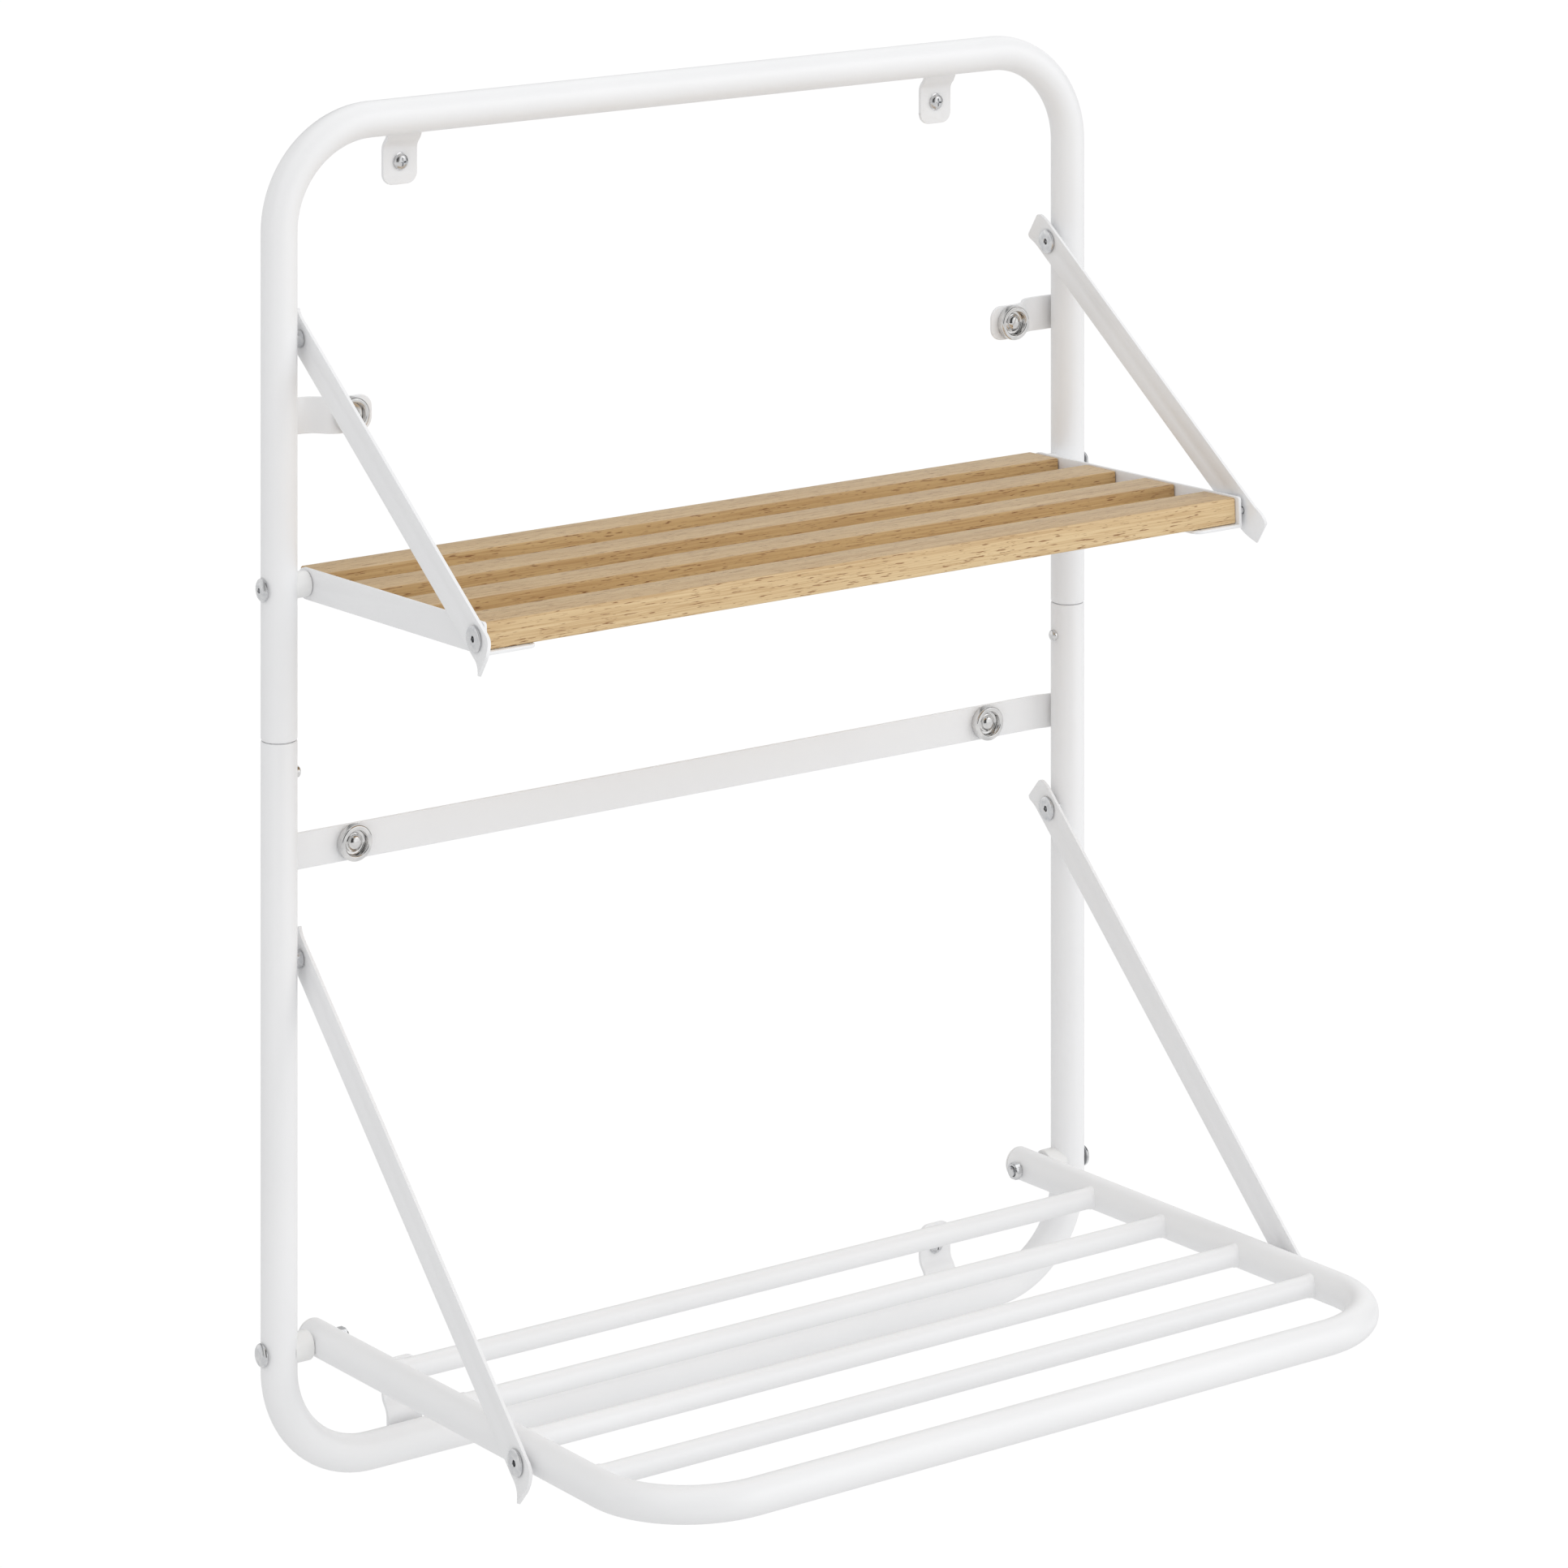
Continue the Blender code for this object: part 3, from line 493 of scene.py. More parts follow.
def frame_tubes():
    """The two halves, with the rolled lips that leave a fine groove where they meet."""
    spigot = (TUBE_BORE - 0.0003, TUBE_BORE - 0.0015)
    top = SPLIT_Z + 0.0003
    upper = [
        (SPIGOT_END_Z, *spigot),
        (top, *spigot),
        (top + 0.0001, TUBE_R - 0.0009, spigot[1]),
        (top + 0.0005, TUBE_R - 0.0003, spigot[1]),
        (top + 0.0014, TUBE_R, spigot[1]),
        (top + 0.005, TUBE_R, TUBE_BORE),
    ]
    lower = [
        (SPLIT_Z, TUBE_R - 0.0006, TUBE_BORE),
        (SPLIT_Z - 0.0003, TUBE_R - 0.0002, TUBE_BORE),
        (SPLIT_Z - 0.0009, TUBE_R, TUBE_BORE),
    ]
    frame_half("upper_frame_tube", RAIL_HIGH_Z, upper, 1)
    frame_half("lower_frame_tube", RAIL_LOW_Z, lower, -1)


def wall_tabs():
    """Slotted tabs welded to the rails, joggled back to the wall."""
    for row, rail_z in (("top", RAIL_HIGH_Z), ("bottom", RAIL_LOW_Z)):
        for side_name, _ in SIDES:
            name = f"{row}_wall_tab_{side_name}"
            start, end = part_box(name)
            screw = middle(f"{row}_wall_screw_{side_name}")
            up = 1 if rail_z > screw.z else -1
            rail_end, free_end = (end.z, start.z) if up > 0 else (start.z, end.z)
            thick = 0.0025
            rear = start.y + thick
            line = [(rear, rail_end), (rear, rail_z - up * 0.014), (0, rail_z - up * 0.020), (0, free_end)]
            outline = thick_line(rounded(line, 0.004), -thick * up)
            tab = mesh_object(name, slab(outline, start.x, end.x, "X"))
            cut(tab, *tab_corners(screw.x, end.x - start.x, free_end, up), slot_shape(screw))
            soften(tab, 0.0004)
            finish_piece(tab, WHITE, "root", "powder_coat", name)
            weld_bead(f"{name}_weld", (screw.x, rail_z + up * 0.0035), end.x - start.x)


def tab_corners(x, width, free_end, up):
    """Waste outside the rounded corners of a tab's free end."""
    radius = 0.007
    shapes = []
    for side in (-1, 1):
        edge = width / 2
        curve = arc((edge - radius, radius), radius, 0, -pi / 2, 12)
        waste = [(edge + 0.002, radius)] + curve + [(edge - radius, -0.002), (edge + 0.002, -0.002)]
        shapes.append(slab([(x + side * u, free_end + up * v) for u, v in waste], -0.02, 0.01, "Y"))
    return shapes


def slot_shape(screw):
    """Upright slot behind a wall screw."""
    radius, reach = 0.0027, 0.0028
    top = arc((screw.x, screw.z + reach), radius, 0, pi, 14)
    under = arc((screw.x, screw.z - reach), radius, pi, 2 * pi, 14)
    return slab(top + under, -0.01, 0.01, "Y")


def weld_bead(name, place, width):
    """Slim painted weld along a rail where a tab's edge lies on it."""
    profile = [(-width / 2, 0)]
    steps = 22
    for i in range(steps + 1):
        ripple = 0.0009 + 0.00016 * cos(i * 2.1) + 0.00008 * cos(i * 5.3)
        end_taper = min(1, 0.25 + 3 * min(i, steps - i) / steps)
        profile.append((-width / 2 + width * i / steps, ripple * end_taper))
    profile.append((width / 2, 0))
    x, z = place
    bead = mesh_object(name, change(turned(profile, 16), place=(x, FRAME_BACK - 0.0006, z)))
    finish_piece(bead, WHITE, "root", "powder_coat", smooth=60)


def wall_screws():
    """Dome-headed screws with a cross recess."""
    for row in ("top", "bottom"):
        for side_name, _ in SIDES:
            name = f"{row}_wall_screw_{side_name}"
            start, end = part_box(name)
            radius = (end.x - start.x) / 2
            seat = 0.0028
            height = -start.y - seat
            shank = [(-end.y, 0), (-end.y, 0.0021), (seat, 0.0021), (seat, radius * 0.9)]
            profile = shank + [(seat + 0.0002, radius * 0.98)]
            profile += dome(seat + 0.0004, height - 0.0004, radius)
            place = middle(name)
            screw = mesh_object(name, change(turned(profile), turn=FACING_OUT, place=(place.x, 0, place.z)))
            for long, across in ((0.0026, 0.00055), (0.00055, 0.0026)):
                outline = [(-long, -across), (long, -across), (long, across), (-long, across)]
                recess = slab(outline, start.y - 0.001, start.y + 0.0018, "Y")
                cut(screw, change(recess, place=(place.x, 0, place.z)))
            finish_piece(screw, ZINC, "root", "zinc_steel", name, smooth=25)


def strip(name, line, node, bend=0.004):
    """Flat bar standing on edge, whose front face follows a line in plan."""
    start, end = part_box(node)
    outline = thick_line(rounded(line, bend), SHEET)
    return mesh_object(name, slab(outline, start.z, end.z, "Z"))


def crossbar():
    """Flat bar behind the uprights, whose ends step forward to meet them."""
    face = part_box("magnet_cup_crossbar_right")[1].y + 0.0003
    start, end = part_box("crossbar")
    half = [(end.x, start.y), (INNER_X + 0.003, start.y), (INNER_X - 0.003, face)]
    line = [(-x, y) for x, y in half] + half[::-1]
    bar = strip("crossbar", line, "crossbar", 0.006)
    soften(bar, 0.0005)
    finish_piece(bar, WHITE, "root", "powder_coat", "crossbar")


CATCH_JOG_X = 0.268  # where a catch leaves the plane of the uprights' backs
CATCH_FACE_X = 0.258  # where it reaches the plane of its magnet


def catch_brackets():
    """Joggled brackets with round-cornered tips."""
    for side_name, side in SIDES:
        name = f"catch_bracket_{side_name}"
        start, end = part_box(name)
        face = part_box(f"magnet_cup_catch_{side_name}")[1].y + 0.0003
        seat = FRAME_BACK + 0.0003
        tip_x, root_x = sorted((abs(start.x), abs(end.x)))
        line = [(-root_x, seat), (-CATCH_JOG_X, seat), (-CATCH_FACE_X, face), (-tip_x, face)]
        bracket = strip(name, line, name, 0.009)
        radius, half = 0.008, (end.z - start.z) / 2
        for up in (-1, 1):
            curve = arc((tip_x + radius, half - radius), radius, pi, pi / 2, 12)
            out_x = tip_x - 0.002
            waste = [(out_x, half - radius)] + curve
            waste += [(tip_x + radius, half + 0.002), (out_x, half + 0.002)]
            centre_z = (start.z + end.z) / 2
            cut(bracket, slab([(-u, centre_z + up * v) for u, v in waste], -0.05, 0, "Y"))
        if side > 0:
            bracket.data.transform(Matrix.Scale(-1, 4, (1, 0, 0)))
            bracket.data.flip_normals()
        soften(bracket, 0.0005)
        finish_piece(bracket, WHITE, "root", "powder_coat", name)


def magnets():
    """Bright cups with rolled lips, each holding a polished dome."""
    for place in ("crossbar_left", "crossbar_right", "catch_left", "catch_right"):
        cup_node, core_node = f"magnet_cup_{place}", f"magnet_{place}"
        start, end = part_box(cup_node)
        radius, depth = (end.x - start.x) / 2, end.y - start.y
        mouth = radius * 0.70
        lip = arc((depth - 0.0012, radius - 0.0012), 0.0012, pi / 2, 0, 8)
        roll = arc((depth - 0.0010, mouth + 0.0010), 0.0010, 0, -pi / 2, 8)
        base = [(0, 0), (0, radius - 0.0006), (0.0003, radius - 0.0001), (0.0007, radius)]
        well = [(0.0018, mouth), (0.0013, mouth - 0.0004), (0.0011, mouth - 0.0010), (0.0011, 0)]
        cup_place = (middle(cup_node).x, end.y, middle(cup_node).z)
        shape = turned(base + lip + roll + well, 64)
        cup = mesh_object(cup_node, change(shape, turn=FACING_OUT, place=cup_place))
        finish_piece(cup, NICKEL, "root", "chrome", cup_node, smooth=50)
        core_start, core_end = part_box(core_node)
        wide, deep = (core_end.x - core_start.x) / 2, core_end.y - core_start.y
        skirt = [(0, 0), (0, wide), (0.0007, wide), (0.0010, wide - 0.0003), (0.0010, wide - 0.0008)]
        profile = skirt + dome(0.0011, deep - 0.0011, wide - 0.0009, 14)
        core_place = (cup_place[0], core_end.y, cup_place[2])
        core = mesh_object(core_node, change(turned(profile), turn=FACING_OUT, place=core_place))
        finish_piece(core, NICKEL, "root", "chrome", core_node, smooth=50)


def snap_buttons():
    """Round-nosed buttons in small pressed collars, over their leaf springs."""
    for side_name, side in SIDES:
        name = f"snap_button_{side_name}"
        start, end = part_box(name)
        nose, base = sorted((abs(start.x), abs(end.x)))
        radius = (end.z - start.z) / 2
        centre = middle(name)
        cap = [(2 * nose - x + 0.0018, r) for x, r in dome(nose, 0.0018, radius)]
        profile = cap[::-1] + [(base - 0.0003, radius), (base, radius - 0.0003), (base, 0)]
        button = mesh_object(name, change(turned(profile), side, place=(0, AXIS_Y, centre.z)))
        finish_piece(button, NICKEL, f"button_{side_name}", "chrome", name, smooth=50)


# ---- pivots and rivets ----


def pivots():
    """Shelf rivets, rack bolts and nuts, and their spacers."""
    for side_name, side in SIDES:
        for tier, z in (("shelf", SHELF_Z), ("rack", RACK_Z)):
            kind = "rivet" if tier == "shelf" else "bolt"
            name = f"{tier}_pivot_{kind}_{side_name}"
            start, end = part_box(name)
            inner, outer = sorted((abs(start.x), abs(end.x)))
            profile = rivet_profile(inner, outer) if kind == "rivet" else bolt_profile(inner, outer)
            pin = mesh_object(name, change(turned(profile), side, place=(0, AXIS_Y, z)))
            finish_piece(pin, ZINC, "root", "zinc_steel", name)
            spacer(f"{tier}_pivot_spacer_{side_name}", side, z)
        nut(f"rack_pivot_nut_{side_name}", side)


def rivet_profile(inner, outer):
    """Blind rivet: formed bulb inside, flat dome outside with the mandrel's hole."""
    seat = UPRIGHT_X + TUBE_R + 0.0002
    bulb = [(inner, 0), (inner, 0.0032), (inner + 0.0004, 0.0041)]
    bulb += [(inner + 0.0012, 0.0048), (inner + 0.0025, 0.0048)]
    shank = [(inner + 0.0025, 0.003), (seat, 0.003)]
    head = [(seat, 0.0066), (seat + 0.0003, 0.007), (seat + 0.0008, 0.0069), (seat + 0.0015, 0.0061)]
    head += [(outer - 0.0004, 0.0044), (outer, 0.003), (outer, 0.0018), (outer - 0.0002, 0.0015)]
    return bulb + shank + head + [(outer - 0.0016, 0.0013), (outer - 0.0016, 0)]


def bolt_profile(inner, outer):
    """Plain domed bolt with a chamfered thread end."""
    seat = UPRIGHT_X + TUBE_R + 0.0002
    shank = [(inner, 0), (inner, 0.0024), (inner + 0.0006, 0.003), (seat, 0.003)]
    head = [(seat, 0.0067), (seat + 0.0003, 0.007)]
    return shank + head + dome(seat + 0.0006, outer - seat - 0.0006, 0.007)


def spacer(name, side, z):
    """Moulded spacer: a faced collar against the tier, saddled into the upright."""
    start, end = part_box(name)
    near = min(abs(start.x), abs(end.x))
    radius = (end.z - start.z) / 2
    root = INNER_X + 0.0042
    bore = 0.0033
    collar = [(near, bore), (near, radius - 0.0005)]
    collar += [(near + 0.0003, radius - 0.0001), (near + 0.0008, radius)]
    body = [(INNER_X - 0.0006, radius), (root, radius + 0.0005), (root, bore)]
    piece = mesh_object(name, change(turned(collar + body, hollow=True), side, place=(0, AXIS_Y, z)))
    finish_piece(piece, PLASTIC, "root", "white_plastic", name)


def nut(name, side):
    """Chamfered hexagon nut on a thin washer face."""
    start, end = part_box(name)
    near, far = sorted((abs(start.x), abs(end.x)))
    radius = (end.y - start.y) / 2
    bore, flats = 0.0033, radius * cos(pi / 6)
    rows = [(near + 0.0004, bore), (near, bore + 0.0004), (near, flats * 0.97), (near + 0.0006, radius)]
    rows += [(far - 0.0009, radius), (far - 0.0004, flats * 0.98), (far, flats * 0.98), (far, bore)]
    shape = bmesh.new()
    sides = 48
    loops = []
    for x, wide in rows:
        loop = []
        for i in range(sides):
            angle = 2 * pi * i / sides
            off = (angle + pi / 6) % (pi / 3) - pi / 6
            hexagon = flats / cos(pi / 6 - abs(off))
            reach = min(wide, hexagon) if wide > bore + 0.001 else wide
            loop.append(shape.verts.new((x, reach * cos(angle), reach * sin(angle))))
        loops.append(loop)
    for first, second in zip(loops, loops[1:] + loops[:1]):
        bridge(shape, first, second)
    piece = mesh_object(name, change(shape, side, place=(0, AXIS_Y, RACK_Z)))
    finish_piece(piece, ZINC, "root", "zinc_steel", name, smooth=20)


def head_rows(face, way):
    """(x, radius) points of a flat rivet head, from its underside at face outwards along way."""
    rows = [(0, 0.0060), (0.0003, 0.0061), (0.0005, 0.0077), (0.0009, 0.0077), (0.0012, 0.0074)]
    rows += [(0.0014, 0.0069), (0.0015, 0.0062), (0.0016, 0.0050), (0.0016, 0.0023)]
    rows += [(0.0015, 0.0020), (0.0012, 0.0018), (-0.0016, 0.0016), (-0.0018, 0)]
    return [(face + way * x, radius) for x, radius in rows]


def strut_rivets():
    """Rivets with flat heads and a small centre hole; the top ones have a shoulder."""
    for tier in ("shelf", "rack"):
        for side_name, side in SIDES:
            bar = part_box(f"{tier}_strut_top_rivet_{side_name}")
            near, far = sorted((abs(bar[0].x), abs(bar[1].x)))
            face = near + 0.0016
            shoulder = face + SHEET + 0.0006
            top = head_rows(face, -1)[::-1]
            top += [(face, 0.0022), (shoulder, 0.0022), (shoulder, 0.0052), (shoulder + 0.0003, 0.0055)]
            top += [(INNER_X - 0.0003, 0.0055), (INNER_X + 0.0016, 0.0058), (INNER_X + 0.0016, 0.0022)]
            top += [(far - 0.0022, 0.0022), (far - 0.0022, 0.0032)]
            top += [(far - 0.0004, 0.0030), (far, 0.0024), (far, 0)]
            name = f"{tier}_strut_top_rivet_{side_name}"
            z = JOINTS[f"{tier}_strut_swing_{side_name}"]["pos_m"][2]
            rivet = mesh_object(name, change(turned(top), side, place=(0, AXIS_Y, z)))
            finish_piece(rivet, ZINC, "root", "zinc_steel", name, smooth=28)

            name = f"{tier}_strut_low_rivet_{side_name}"
            start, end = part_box(name)
            near, far = sorted((abs(start.x), abs(end.x)))
            face = far - 0.0016
            low_rows = [(near, 0), (near, 0.0022), (face, 0.0022)] + head_rows(face, 1)
            foot = middle(name)
            rivet = mesh_object(name, change(turned(low_rows), side, place=(0, foot.y, foot.z)))
            finish_piece(rivet, ZINC, f"{tier}_strut_arm_{side_name}", "zinc_steel", name, smooth=28)


# ---- struts ----


STRUT_WIDTH = 0.0205
STRUT_BEND_AT = 0.0085
TOP_TAIL = 0.0165
TOP_TAIL_SET = 0.002
LOW_TAIL = 0.019
LOW_TAIL_SET = 0.004
LOW_TAIL_FRONT = 0.010  # where the foot's rounded front corner starts


def strut_bar(name, inner, length):
    """Flat bar hanging along -Z from its top rivet, with curved finger tabs past both rivets."""
    line = [
        (inner - TOP_TAIL_SET, TOP_TAIL),
        (inner - TOP_TAIL_SET * 0.35, (TOP_TAIL + STRUT_BEND_AT) / 2),
        (inner, STRUT_BEND_AT),
        (inner, -length - STRUT_BEND_AT),
        (inner + LOW_TAIL_SET * 0.35, -length - (LOW_TAIL + STRUT_BEND_AT) / 2),
        (inner + LOW_TAIL_SET, -length - LOW_TAIL),
    ]
    outline = thick_line(rounded(line, 0.004), SHEET)
    bar = mesh_object(name, slab(outline, -STRUT_WIDTH / 2, STRUT_WIDTH / 2, "Y"))
    cut(bar, foot_waste(inner, length), *head_waste(inner))
    for z in (0, -length):
        hole = [(inner - 0.01, 0), (inner - 0.01, 0.0025), (inner + 0.01, 0.0025), (inner + 0.01, 0)]
        cut(bar, change(turned(hole, 24), place=(0, 0, z)))
    soften(bar, 0.00045)
    apply_modifiers(bar)
    return bar


def foot_waste(inner, length):
    """What the rounded front corner takes off a strut's foot, leaving a claw at the rear."""
    half = STRUT_WIDTH / 2
    start, end = -length - LOW_TAIL_FRONT, -length - LOW_TAIL
    waste = []
    for i in range(19):
        angle = pi / 2 * i / 18
        waste.append((-half * (0.2 + 0.8 * cos(angle)), start + (end - start) * sin(angle)))
    waste += [(half * 0.7, end - 0.001), (half * 0.7, end - 0.006)]
    waste += [(-half - 0.004, end - 0.006), (-half - 0.004, start)]
    return slab(waste, inner - 0.03, inner + 0.03, "X")


def head_waste(inner):
    """What two small round corners take off a strut's top end."""
    half, radius = STRUT_WIDTH / 2, 0.0028
    shapes = []
    for side in (-1, 1):
        curve = arc((half - radius, TOP_TAIL - radius), radius, 0, pi / 2, 8)
        waste = [(half + 0.002, TOP_TAIL - radius)] + curve
        waste += [(half - radius, TOP_TAIL + 0.004), (half + 0.002, TOP_TAIL + 0.004)]
        shapes.append(slab([(side * u, v) for u, v in waste], inner - 0.03, inner + 0.03, "X"))
    return shapes


def struts():
    """Each strut hangs from its upright's rivet, and is turned to meet its tier."""
    for tier in ("shelf", "rack"):
        for side_name, side in SIDES:
            name = f"{tier}_strut_{side_name}"
            joint = JOINTS[f"{tier}_strut_swing_{side_name}"]["pos_m"]
            foot = middle(f"{tier}_strut_low_rivet_{side_name}")
            run, drop = AXIS_Y - foot.y, joint[2] - foot.z
            bar = strut_bar(name, abs(joint[0]) - SHEET / 2, hypot(run, drop))
            if side < 0:
                bar.data.transform(Matrix.Scale(-1, 4, (1, 0, 0)))
                bar.data.flip_normals()
            bar.data.transform(Matrix.Rotation(-atan2(run, drop), 4, "X"))
            bar.data.transform(Matrix.Translation((0, AXIS_Y, joint[2])))
            finish_piece(bar, WHITE, f"{tier}_strut_arm_{side_name}", "powder_coat", name)


# ---- shelf, drawn level about its hinge ----

PLATE_TOP = 0.009
PLATE_LOW = -0.010
PLATE_REAR = 0.012
PLATE_FRONT = 0.205
SLAT_PITCH = (middle("shelf_slat_1") - middle("shelf_slat_2")).length
SLAT_FIRST = 0.0035
SLAT_WIDTH = 0.031
SLAT_THICK = 0.016
SLAT_BASE = PLATE_LOW + SHEET + 0.0003
SCREW_X = (PLATE_OUTER_X + FLANGE_INNER_X) / 2


def side_plates():
    """Angle bars with a bend radius inside, a round rear end and a flange under the slats."""
    for side_name, side in SIDES:
        name = f"shelf_side_plate_{side_name}"
        inner = PLATE_OUTER_X - SHEET
        centre_z, radius = (PLATE_TOP + PLATE_LOW) / 2, (PLATE_TOP - PLATE_LOW) / 2
        rear = arc((PLATE_REAR - radius, centre_z), radius, -pi / 2, pi / 2, 20)
        nose = arc((-PLATE_FRONT + 0.002, PLATE_TOP - 0.002), 0.002, pi / 2, pi, 5)
        outline = rear + nose + [(-PLATE_FRONT, PLATE_LOW)]
        plate = mesh_object(name, slab(outline, inner, PLATE_OUTER_X, "X"))
        corner = 0.006
        front = arc((FLANGE_INNER_X + corner, -PLATE_FRONT + corner), corner, pi, 1.5 * pi, 8)
        back = arc((FLANGE_INNER_X + corner, 0.002 - corner), corner, pi, pi / 2, 8)
        flange = front + [(inner + 0.001, -PLATE_FRONT), (inner + 0.001, 0.002)] + back
        join(plate, slab(flange, PLATE_LOW, PLATE_LOW + SHEET, "Z"))
        hole = [(inner - 0.01, 0), (inner - 0.01, 0.0033), (inner + 0.01, 0.0033), (inner + 0.01, 0)]
        cut(plate, turned(hole, 24))
        soften(plate, 0.00045)
        apply_modifiers(plate)
        if side < 0:
            plate.data.transform(Matrix.Scale(-1, 4, (1, 0, 0)))
            plate.data.flip_normals()
        plate.data.transform(on_tier(SHELF_Z))
        finish_piece(plate, WHITE, "shelf", "powder_coat", name)


GAP_PAINTED_SHADE = (0.73, 0.61, 0.40, 1)  # painted shade: edges in the gaps made darker than the tops
# painted light: the front slat's edges made lighter than the tops
FRONT_PAINTED_LIGHT = (0.96, 0.91, 0.76, 1)


def slats():
    """Oak slats with rounded edges, pocketed where the pivot rivets' bulbs come through."""
    end_x = PLATE_OUTER_X - SHEET - 0.0003
    for i in range(4):
        name = f"shelf_slat_{i + 1}"
        y = -(SLAT_FIRST + SLAT_PITCH * i)
        half = SLAT_WIDTH / 2
        outline = [(-end_x, y - half), (end_x, y - half), (end_x, y + half), (-end_x, y + half)]
        slat = mesh_object(name, slab(outline, SLAT_BASE, SLAT_BASE + SLAT_THICK, "Z"))
        soften(slat, 0.0013, 4)
        apply_modifiers(slat)
        if i == 0:
            for _, side in SIDES:
                low_x, high_x = end_x - 0.0035, end_x + 0.003
                pocket = [(low_x, 0), (low_x, 0.0056), (high_x, 0.0056), (high_x, 0)]
                cut(slat, change(turned(pocket, 32), side))
        slat.data.transform(on_tier(SHELF_Z))
        # The three rear slats get painted shade on their edges, and the front slat gets painted light on its
        # edges.
        wood = oak(f"oak_{i + 1}", i + 1, GAP_PAINTED_SHADE if i < 3 else FRONT_PAINTED_LIGHT)
        finish_piece(slat, wood, "shelf", "oak", name)


def slat_screws():
    """Pan-headed screws up through the flanges, two a slat, which the solids leave out."""
    head = PLATE_LOW - 0.0001
    profile = [(head - 0.0020, 0), (head - 0.0020, 0.0018)]
    profile += [(head - 0.0017, 0.0029), (head - 0.0010, 0.0036)]
    profile += [(head - 0.0002, 0.0038), (head, 0.0036), (head, 0.0018), (PLATE_LOW + 0.011, 0.0018)]
    profile += [(PLATE_LOW + 0.0115, 0)]
    for side_name, side in SIDES:
        for i in range(4):
            place = (side * SCREW_X, -(SLAT_FIRST + SLAT_PITCH * i), 0)
            shape = change(turned(profile, 32), turn=FACING_UP)
            screw = mesh_object(f"slat_screw_{side_name}_{i + 1}", shape)
            for long, across in ((0.0018, 0.0004), (0.0004, 0.0018)):
                outline = [(-long, -across), (long, -across), (long, across), (-long, across)]
                cut(screw, slab(outline, head - 0.003, head - 0.0011, "Z"))
            screw.data.transform(on_tier(SHELF_Z) @ Matrix.Translation(place))
            finish_piece(screw, ZINC, "shelf", "zinc_steel", smooth=25)


# ---- rod rack, drawn level about its hinge ----

RACK_REAR = 0.012
RACK_DEPTH = 0.3735


def rack_tube():
    right = arc((RACK_TUBE_X - CORNER_R, RACK_DEPTH - CORNER_R), CORNER_R, 0, pi / 2, BEND_STEPS)
    left = [(-x, y) for x, y in reversed(right)]
    flat = [(RACK_TUBE_X, -RACK_REAR)] + right + left + [(-RACK_TUBE_X, -RACK_REAR)]
    path = [Vector((x, -y, 0)) for x, y in flat]
    sizes = [(RACK_TUBE_R, RACK_TUBE_BORE)] * len(path)
    tube = mesh_object("rack_tube", tube_along(path, Vector((0, 0, 1)), sizes))
    tube.data.transform(on_tier(RACK_Z))
    finish_piece(tube, WHITE, "rack", "powder_coat", "rack_tube")


def rods():
    """Steel rods run a little into the tube's wall, with a painted fillet weld round each end."""
    reach = RACK_TUBE_X - RACK_TUBE_R
    for i in range(4):
        name = f"rack_rod_{i + 1}"
        place = middle(name)
        fillet = []
        for a in (0.3, 0.7, 1.1, 1.4):
            fillet.append((reach - 0.0035 + 0.0035 * sin(a), ROD_R + 0.0006 * (1 - cos(a))))
        right = [(reach - 0.0035, ROD_R)] + fillet + [(reach + 0.0045, ROD_R + 0.0006), (reach + 0.0045, 0)]
        profile = [(-x, r) for x, r in reversed(right)] + right
        rod = mesh_object(name, change(turned(profile), place=place))
        finish_piece(rod, WHITE, "rack", "powder_coat", name)


def end_caps():
    """Domed plastic plugs with a fine step round their rim."""
    for side_name, side in SIDES:
        name = f"rack_end_cap_{side_name}"
        face = RACK_REAR + 0.0003
        plug = RACK_TUBE_BORE - 0.0003
        rim = [(RACK_REAR - 0.004, 0), (RACK_REAR - 0.004, plug - 0.0005)]
        rim += [(RACK_REAR - 0.003, plug), (face, plug)]
        rim += [(face, RACK_TUBE_R - 0.0005), (face + 0.0003, RACK_TUBE_R - 0.0001)]
        profile = rim + dome(face + 0.0008, 0.0034, RACK_TUBE_R, 14)
        place = (side * RACK_TUBE_X, 0, 0)
        cap = mesh_object(name, change(turned(profile, TUBE_SIDES), turn=FACING_BACK, place=place))
        cap.data.transform(on_tier(RACK_Z))
        finish_piece(cap, PLASTIC, "rack", "white_plastic", name)


# ---- studio ----

FLOOR_Z = -0.60
SOFTBOX = Vector((0.55, -0.80, 0.10)).normalized()  # where the metal parts see their lamp


def vector_sum(tree, direction, weights, base):
    """base + weights . direction, as a shader value."""
    dot = tree.nodes.new("ShaderNodeVectorMath")
    dot.operation = "DOT_PRODUCT"
    dot.inputs[1].default_value = weights
    tree.links.new(direction, dot.inputs[0])
    add = tree.nodes.new("ShaderNodeMath")
    add.inputs[1].default_value = base
    tree.links.new(dot.outputs["Value"], add.inputs[0])
    return add.outputs["Value"]


def pick(tree, ray, otherwise, chosen):
    """chosen where the light path says ray, else otherwise."""
    mix = tree.nodes.new("ShaderNodeMix")
    tree.links.new(tree.nodes.new("ShaderNodeLightPath").outputs[ray], mix.inputs["Factor"])
    tree.links.new(otherwise, mix.inputs["A"])
    tree.links.new(chosen, mix.inputs["B"])
    return mix.outputs["Result"]


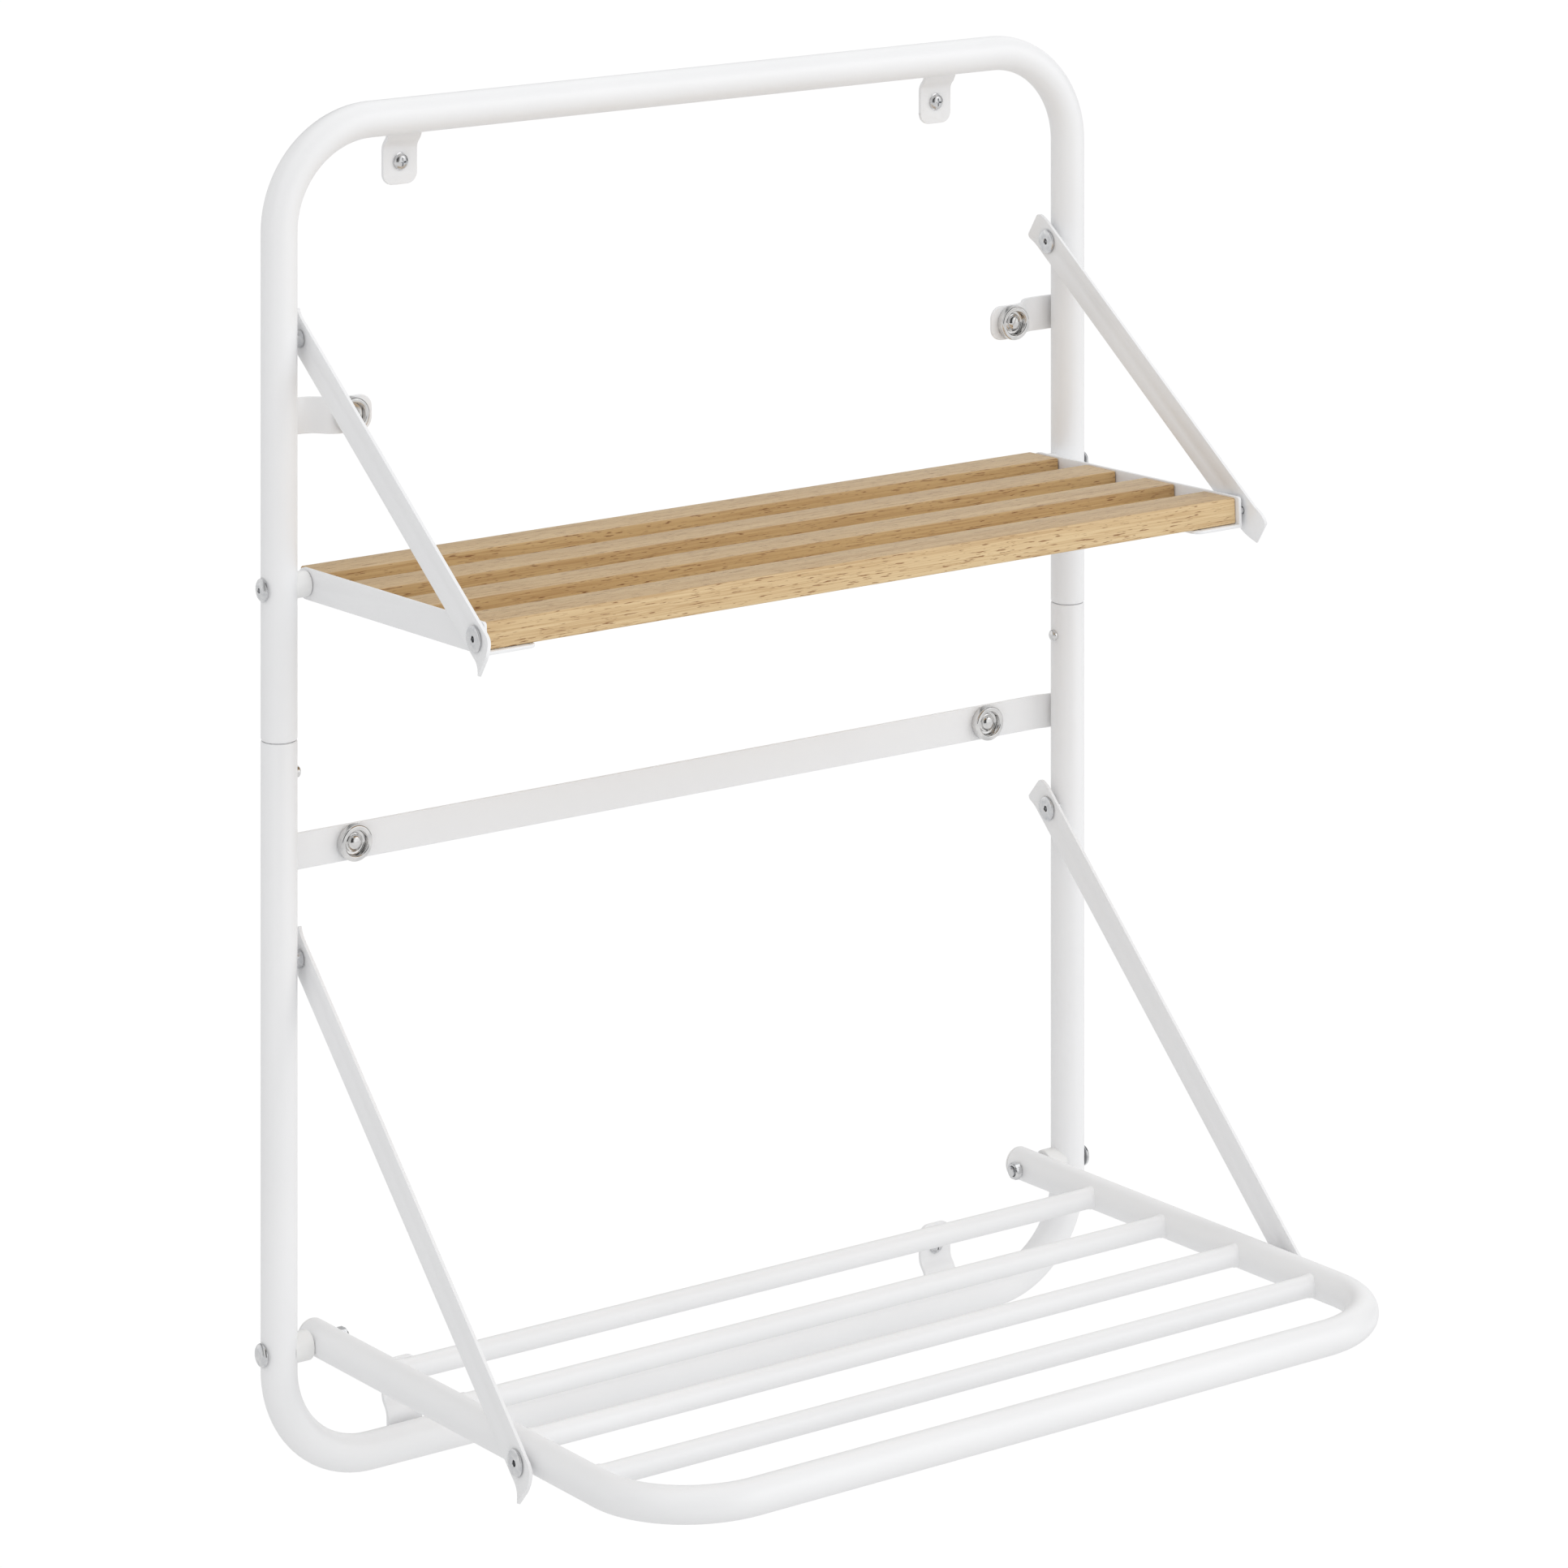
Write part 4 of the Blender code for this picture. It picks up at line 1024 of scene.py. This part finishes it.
def surround():
    """Surround brighter from the front, right and above; glossy rays see darker bands in it."""
    world = bpy.data.worlds.new("surround")
    bpy.context.scene.world = world
    world.use_nodes = True
    tree = world.node_tree
    direction = tree.nodes.new("ShaderNodeTexCoord").outputs["Generated"]
    glow = vector_sum(tree, direction, (0.20, -0.27, 0.15), 0.89)
    facing = vector_sum(tree, direction, SOFTBOX * 0.5, 0.5)
    ramp = tree.nodes.new("ShaderNodeValToRGB")
    stops = ((0.0, 0.92), (0.10, 0.85), (0.22, 0.22), (0.36, 0.75), (0.54, 0.85), (0.66, 0.25))
    stops += ((0.76, 0.04), (0.89, 0.06), (0.95, 1.0))
    elements = ramp.color_ramp.elements
    while len(elements) < len(stops):
        elements.new(0.5)
    for element, (position, value) in zip(elements, stops):
        element.position = position
        element.color = (value, value, value, 1)
    tree.links.new(facing, ramp.inputs["Fac"])
    white = tree.nodes.new("ShaderNodeValue")
    white.outputs["Value"].default_value = 1.02
    strength = pick(tree, "Is Glossy Ray", glow, ramp.outputs["Color"])
    strength = pick(tree, "Is Camera Ray", strength, white.outputs["Value"])
    tree.links.new(strength, tree.nodes["Background"].inputs["Strength"])
    tree.nodes["Background"].inputs["Color"].default_value = (1, 1, 1, 1)


def floor():
    """Pale floor well below the rack; camera rays see it as the same plain white as the surround."""
    slab_shape = slab([(-9, -9), (9, -9), (9, 9), (-9, 9)], FLOOR_Z - 0.02, FLOOR_Z, "Z")
    obj = mesh_object("floor", slab_shape)
    material = bpy.data.materials.new("floor_paint")
    material.use_nodes = True
    tree = material.node_tree
    shader = tree.nodes["Principled BSDF"]
    shader.inputs["Base Color"].default_value = (0.80, 0.80, 0.80, 1)
    shader.inputs["Roughness"].default_value = 0.9
    shader.inputs["Specular IOR Level"].default_value = 0.1
    lit = tree.nodes.new("ShaderNodeEmission")
    lit.inputs["Strength"].default_value = 1.02
    mix = tree.nodes.new("ShaderNodeMixShader")
    tree.links.new(tree.nodes.new("ShaderNodeLightPath").outputs["Is Camera Ray"], mix.inputs["Fac"])
    tree.links.new(shader.outputs["BSDF"], mix.inputs[1])
    tree.links.new(lit.outputs["Emission"], mix.inputs[2])
    tree.links.new(mix.outputs["Shader"], tree.nodes["Material Output"].inputs["Surface"])
    obj.data.materials.append(material)


def studio():
    bpy.context.scene.view_settings.view_transform = "Standard"
    surround()
    floor()
    lamp("key", (2.2, -2.6, 2.4), 1.6, 4.5)


def lamp(name, place, size, power):
    """Square area lamp aimed at the rack's middle."""
    data = bpy.data.lights.new(name, "AREA")
    data.size = size
    data.energy = power
    obj = bpy.data.objects.new(name, data)
    bpy.context.scene.collection.objects.link(obj)
    obj.location = place
    aim = Vector((0, -0.1, 0.4)) - Vector(place)
    obj.rotation_euler = aim.to_track_quat("-Z", "Y").to_euler()


CAMERA_PLACE = Vector((-1.9403, -2.9679, 1.3683))
CAMERA_AZIMUTH = radians(34.29)  # how far the view turns from +Y towards +X
CAMERA_FALL = 0.2812  # how far the view falls for each metre that it runs
CAMERA_LENS = 134.33


def camera():
    """Camera that looks down at the rack with its picture plane upright, so uprights stay parallel."""
    data = bpy.data.cameras.new("camera")
    data.lens = CAMERA_LENS
    data.sensor_width = 36
    data.clip_end = 60
    obj = bpy.data.objects.new("camera", data)
    bpy.context.scene.collection.objects.link(obj)
    right = Vector((cos(CAMERA_AZIMUTH), -sin(CAMERA_AZIMUTH), 0))
    up = Vector((0, 0, 1))
    ahead = Vector((sin(CAMERA_AZIMUTH), cos(CAMERA_AZIMUTH), -CAMERA_FALL)).normalized()
    stand = bpy.data.objects.new("camera_stand", None)
    bpy.context.scene.collection.objects.link(stand)
    obj.parent = stand
    columns = Matrix((right, up, -ahead)).transposed().to_4x4()
    obj.matrix_parent_inverse = Matrix.Translation(CAMERA_PLACE) @ columns
    bpy.context.scene.camera = obj


def main():
    frame_tubes()
    wall_tabs()
    wall_screws()
    crossbar()
    catch_brackets()
    magnets()
    snap_buttons()
    pivots()
    strut_rivets()
    struts()
    side_plates()
    slats()
    slat_screws()
    rack_tube()
    rods()
    end_caps()
    for side_name, _ in SIDES:
        spring = frame["nodes"][f"button_spring_{side_name}"]
        spring.data.materials.clear()
        spring.data.materials.append(ZINC)
    studio()
    camera()


main()
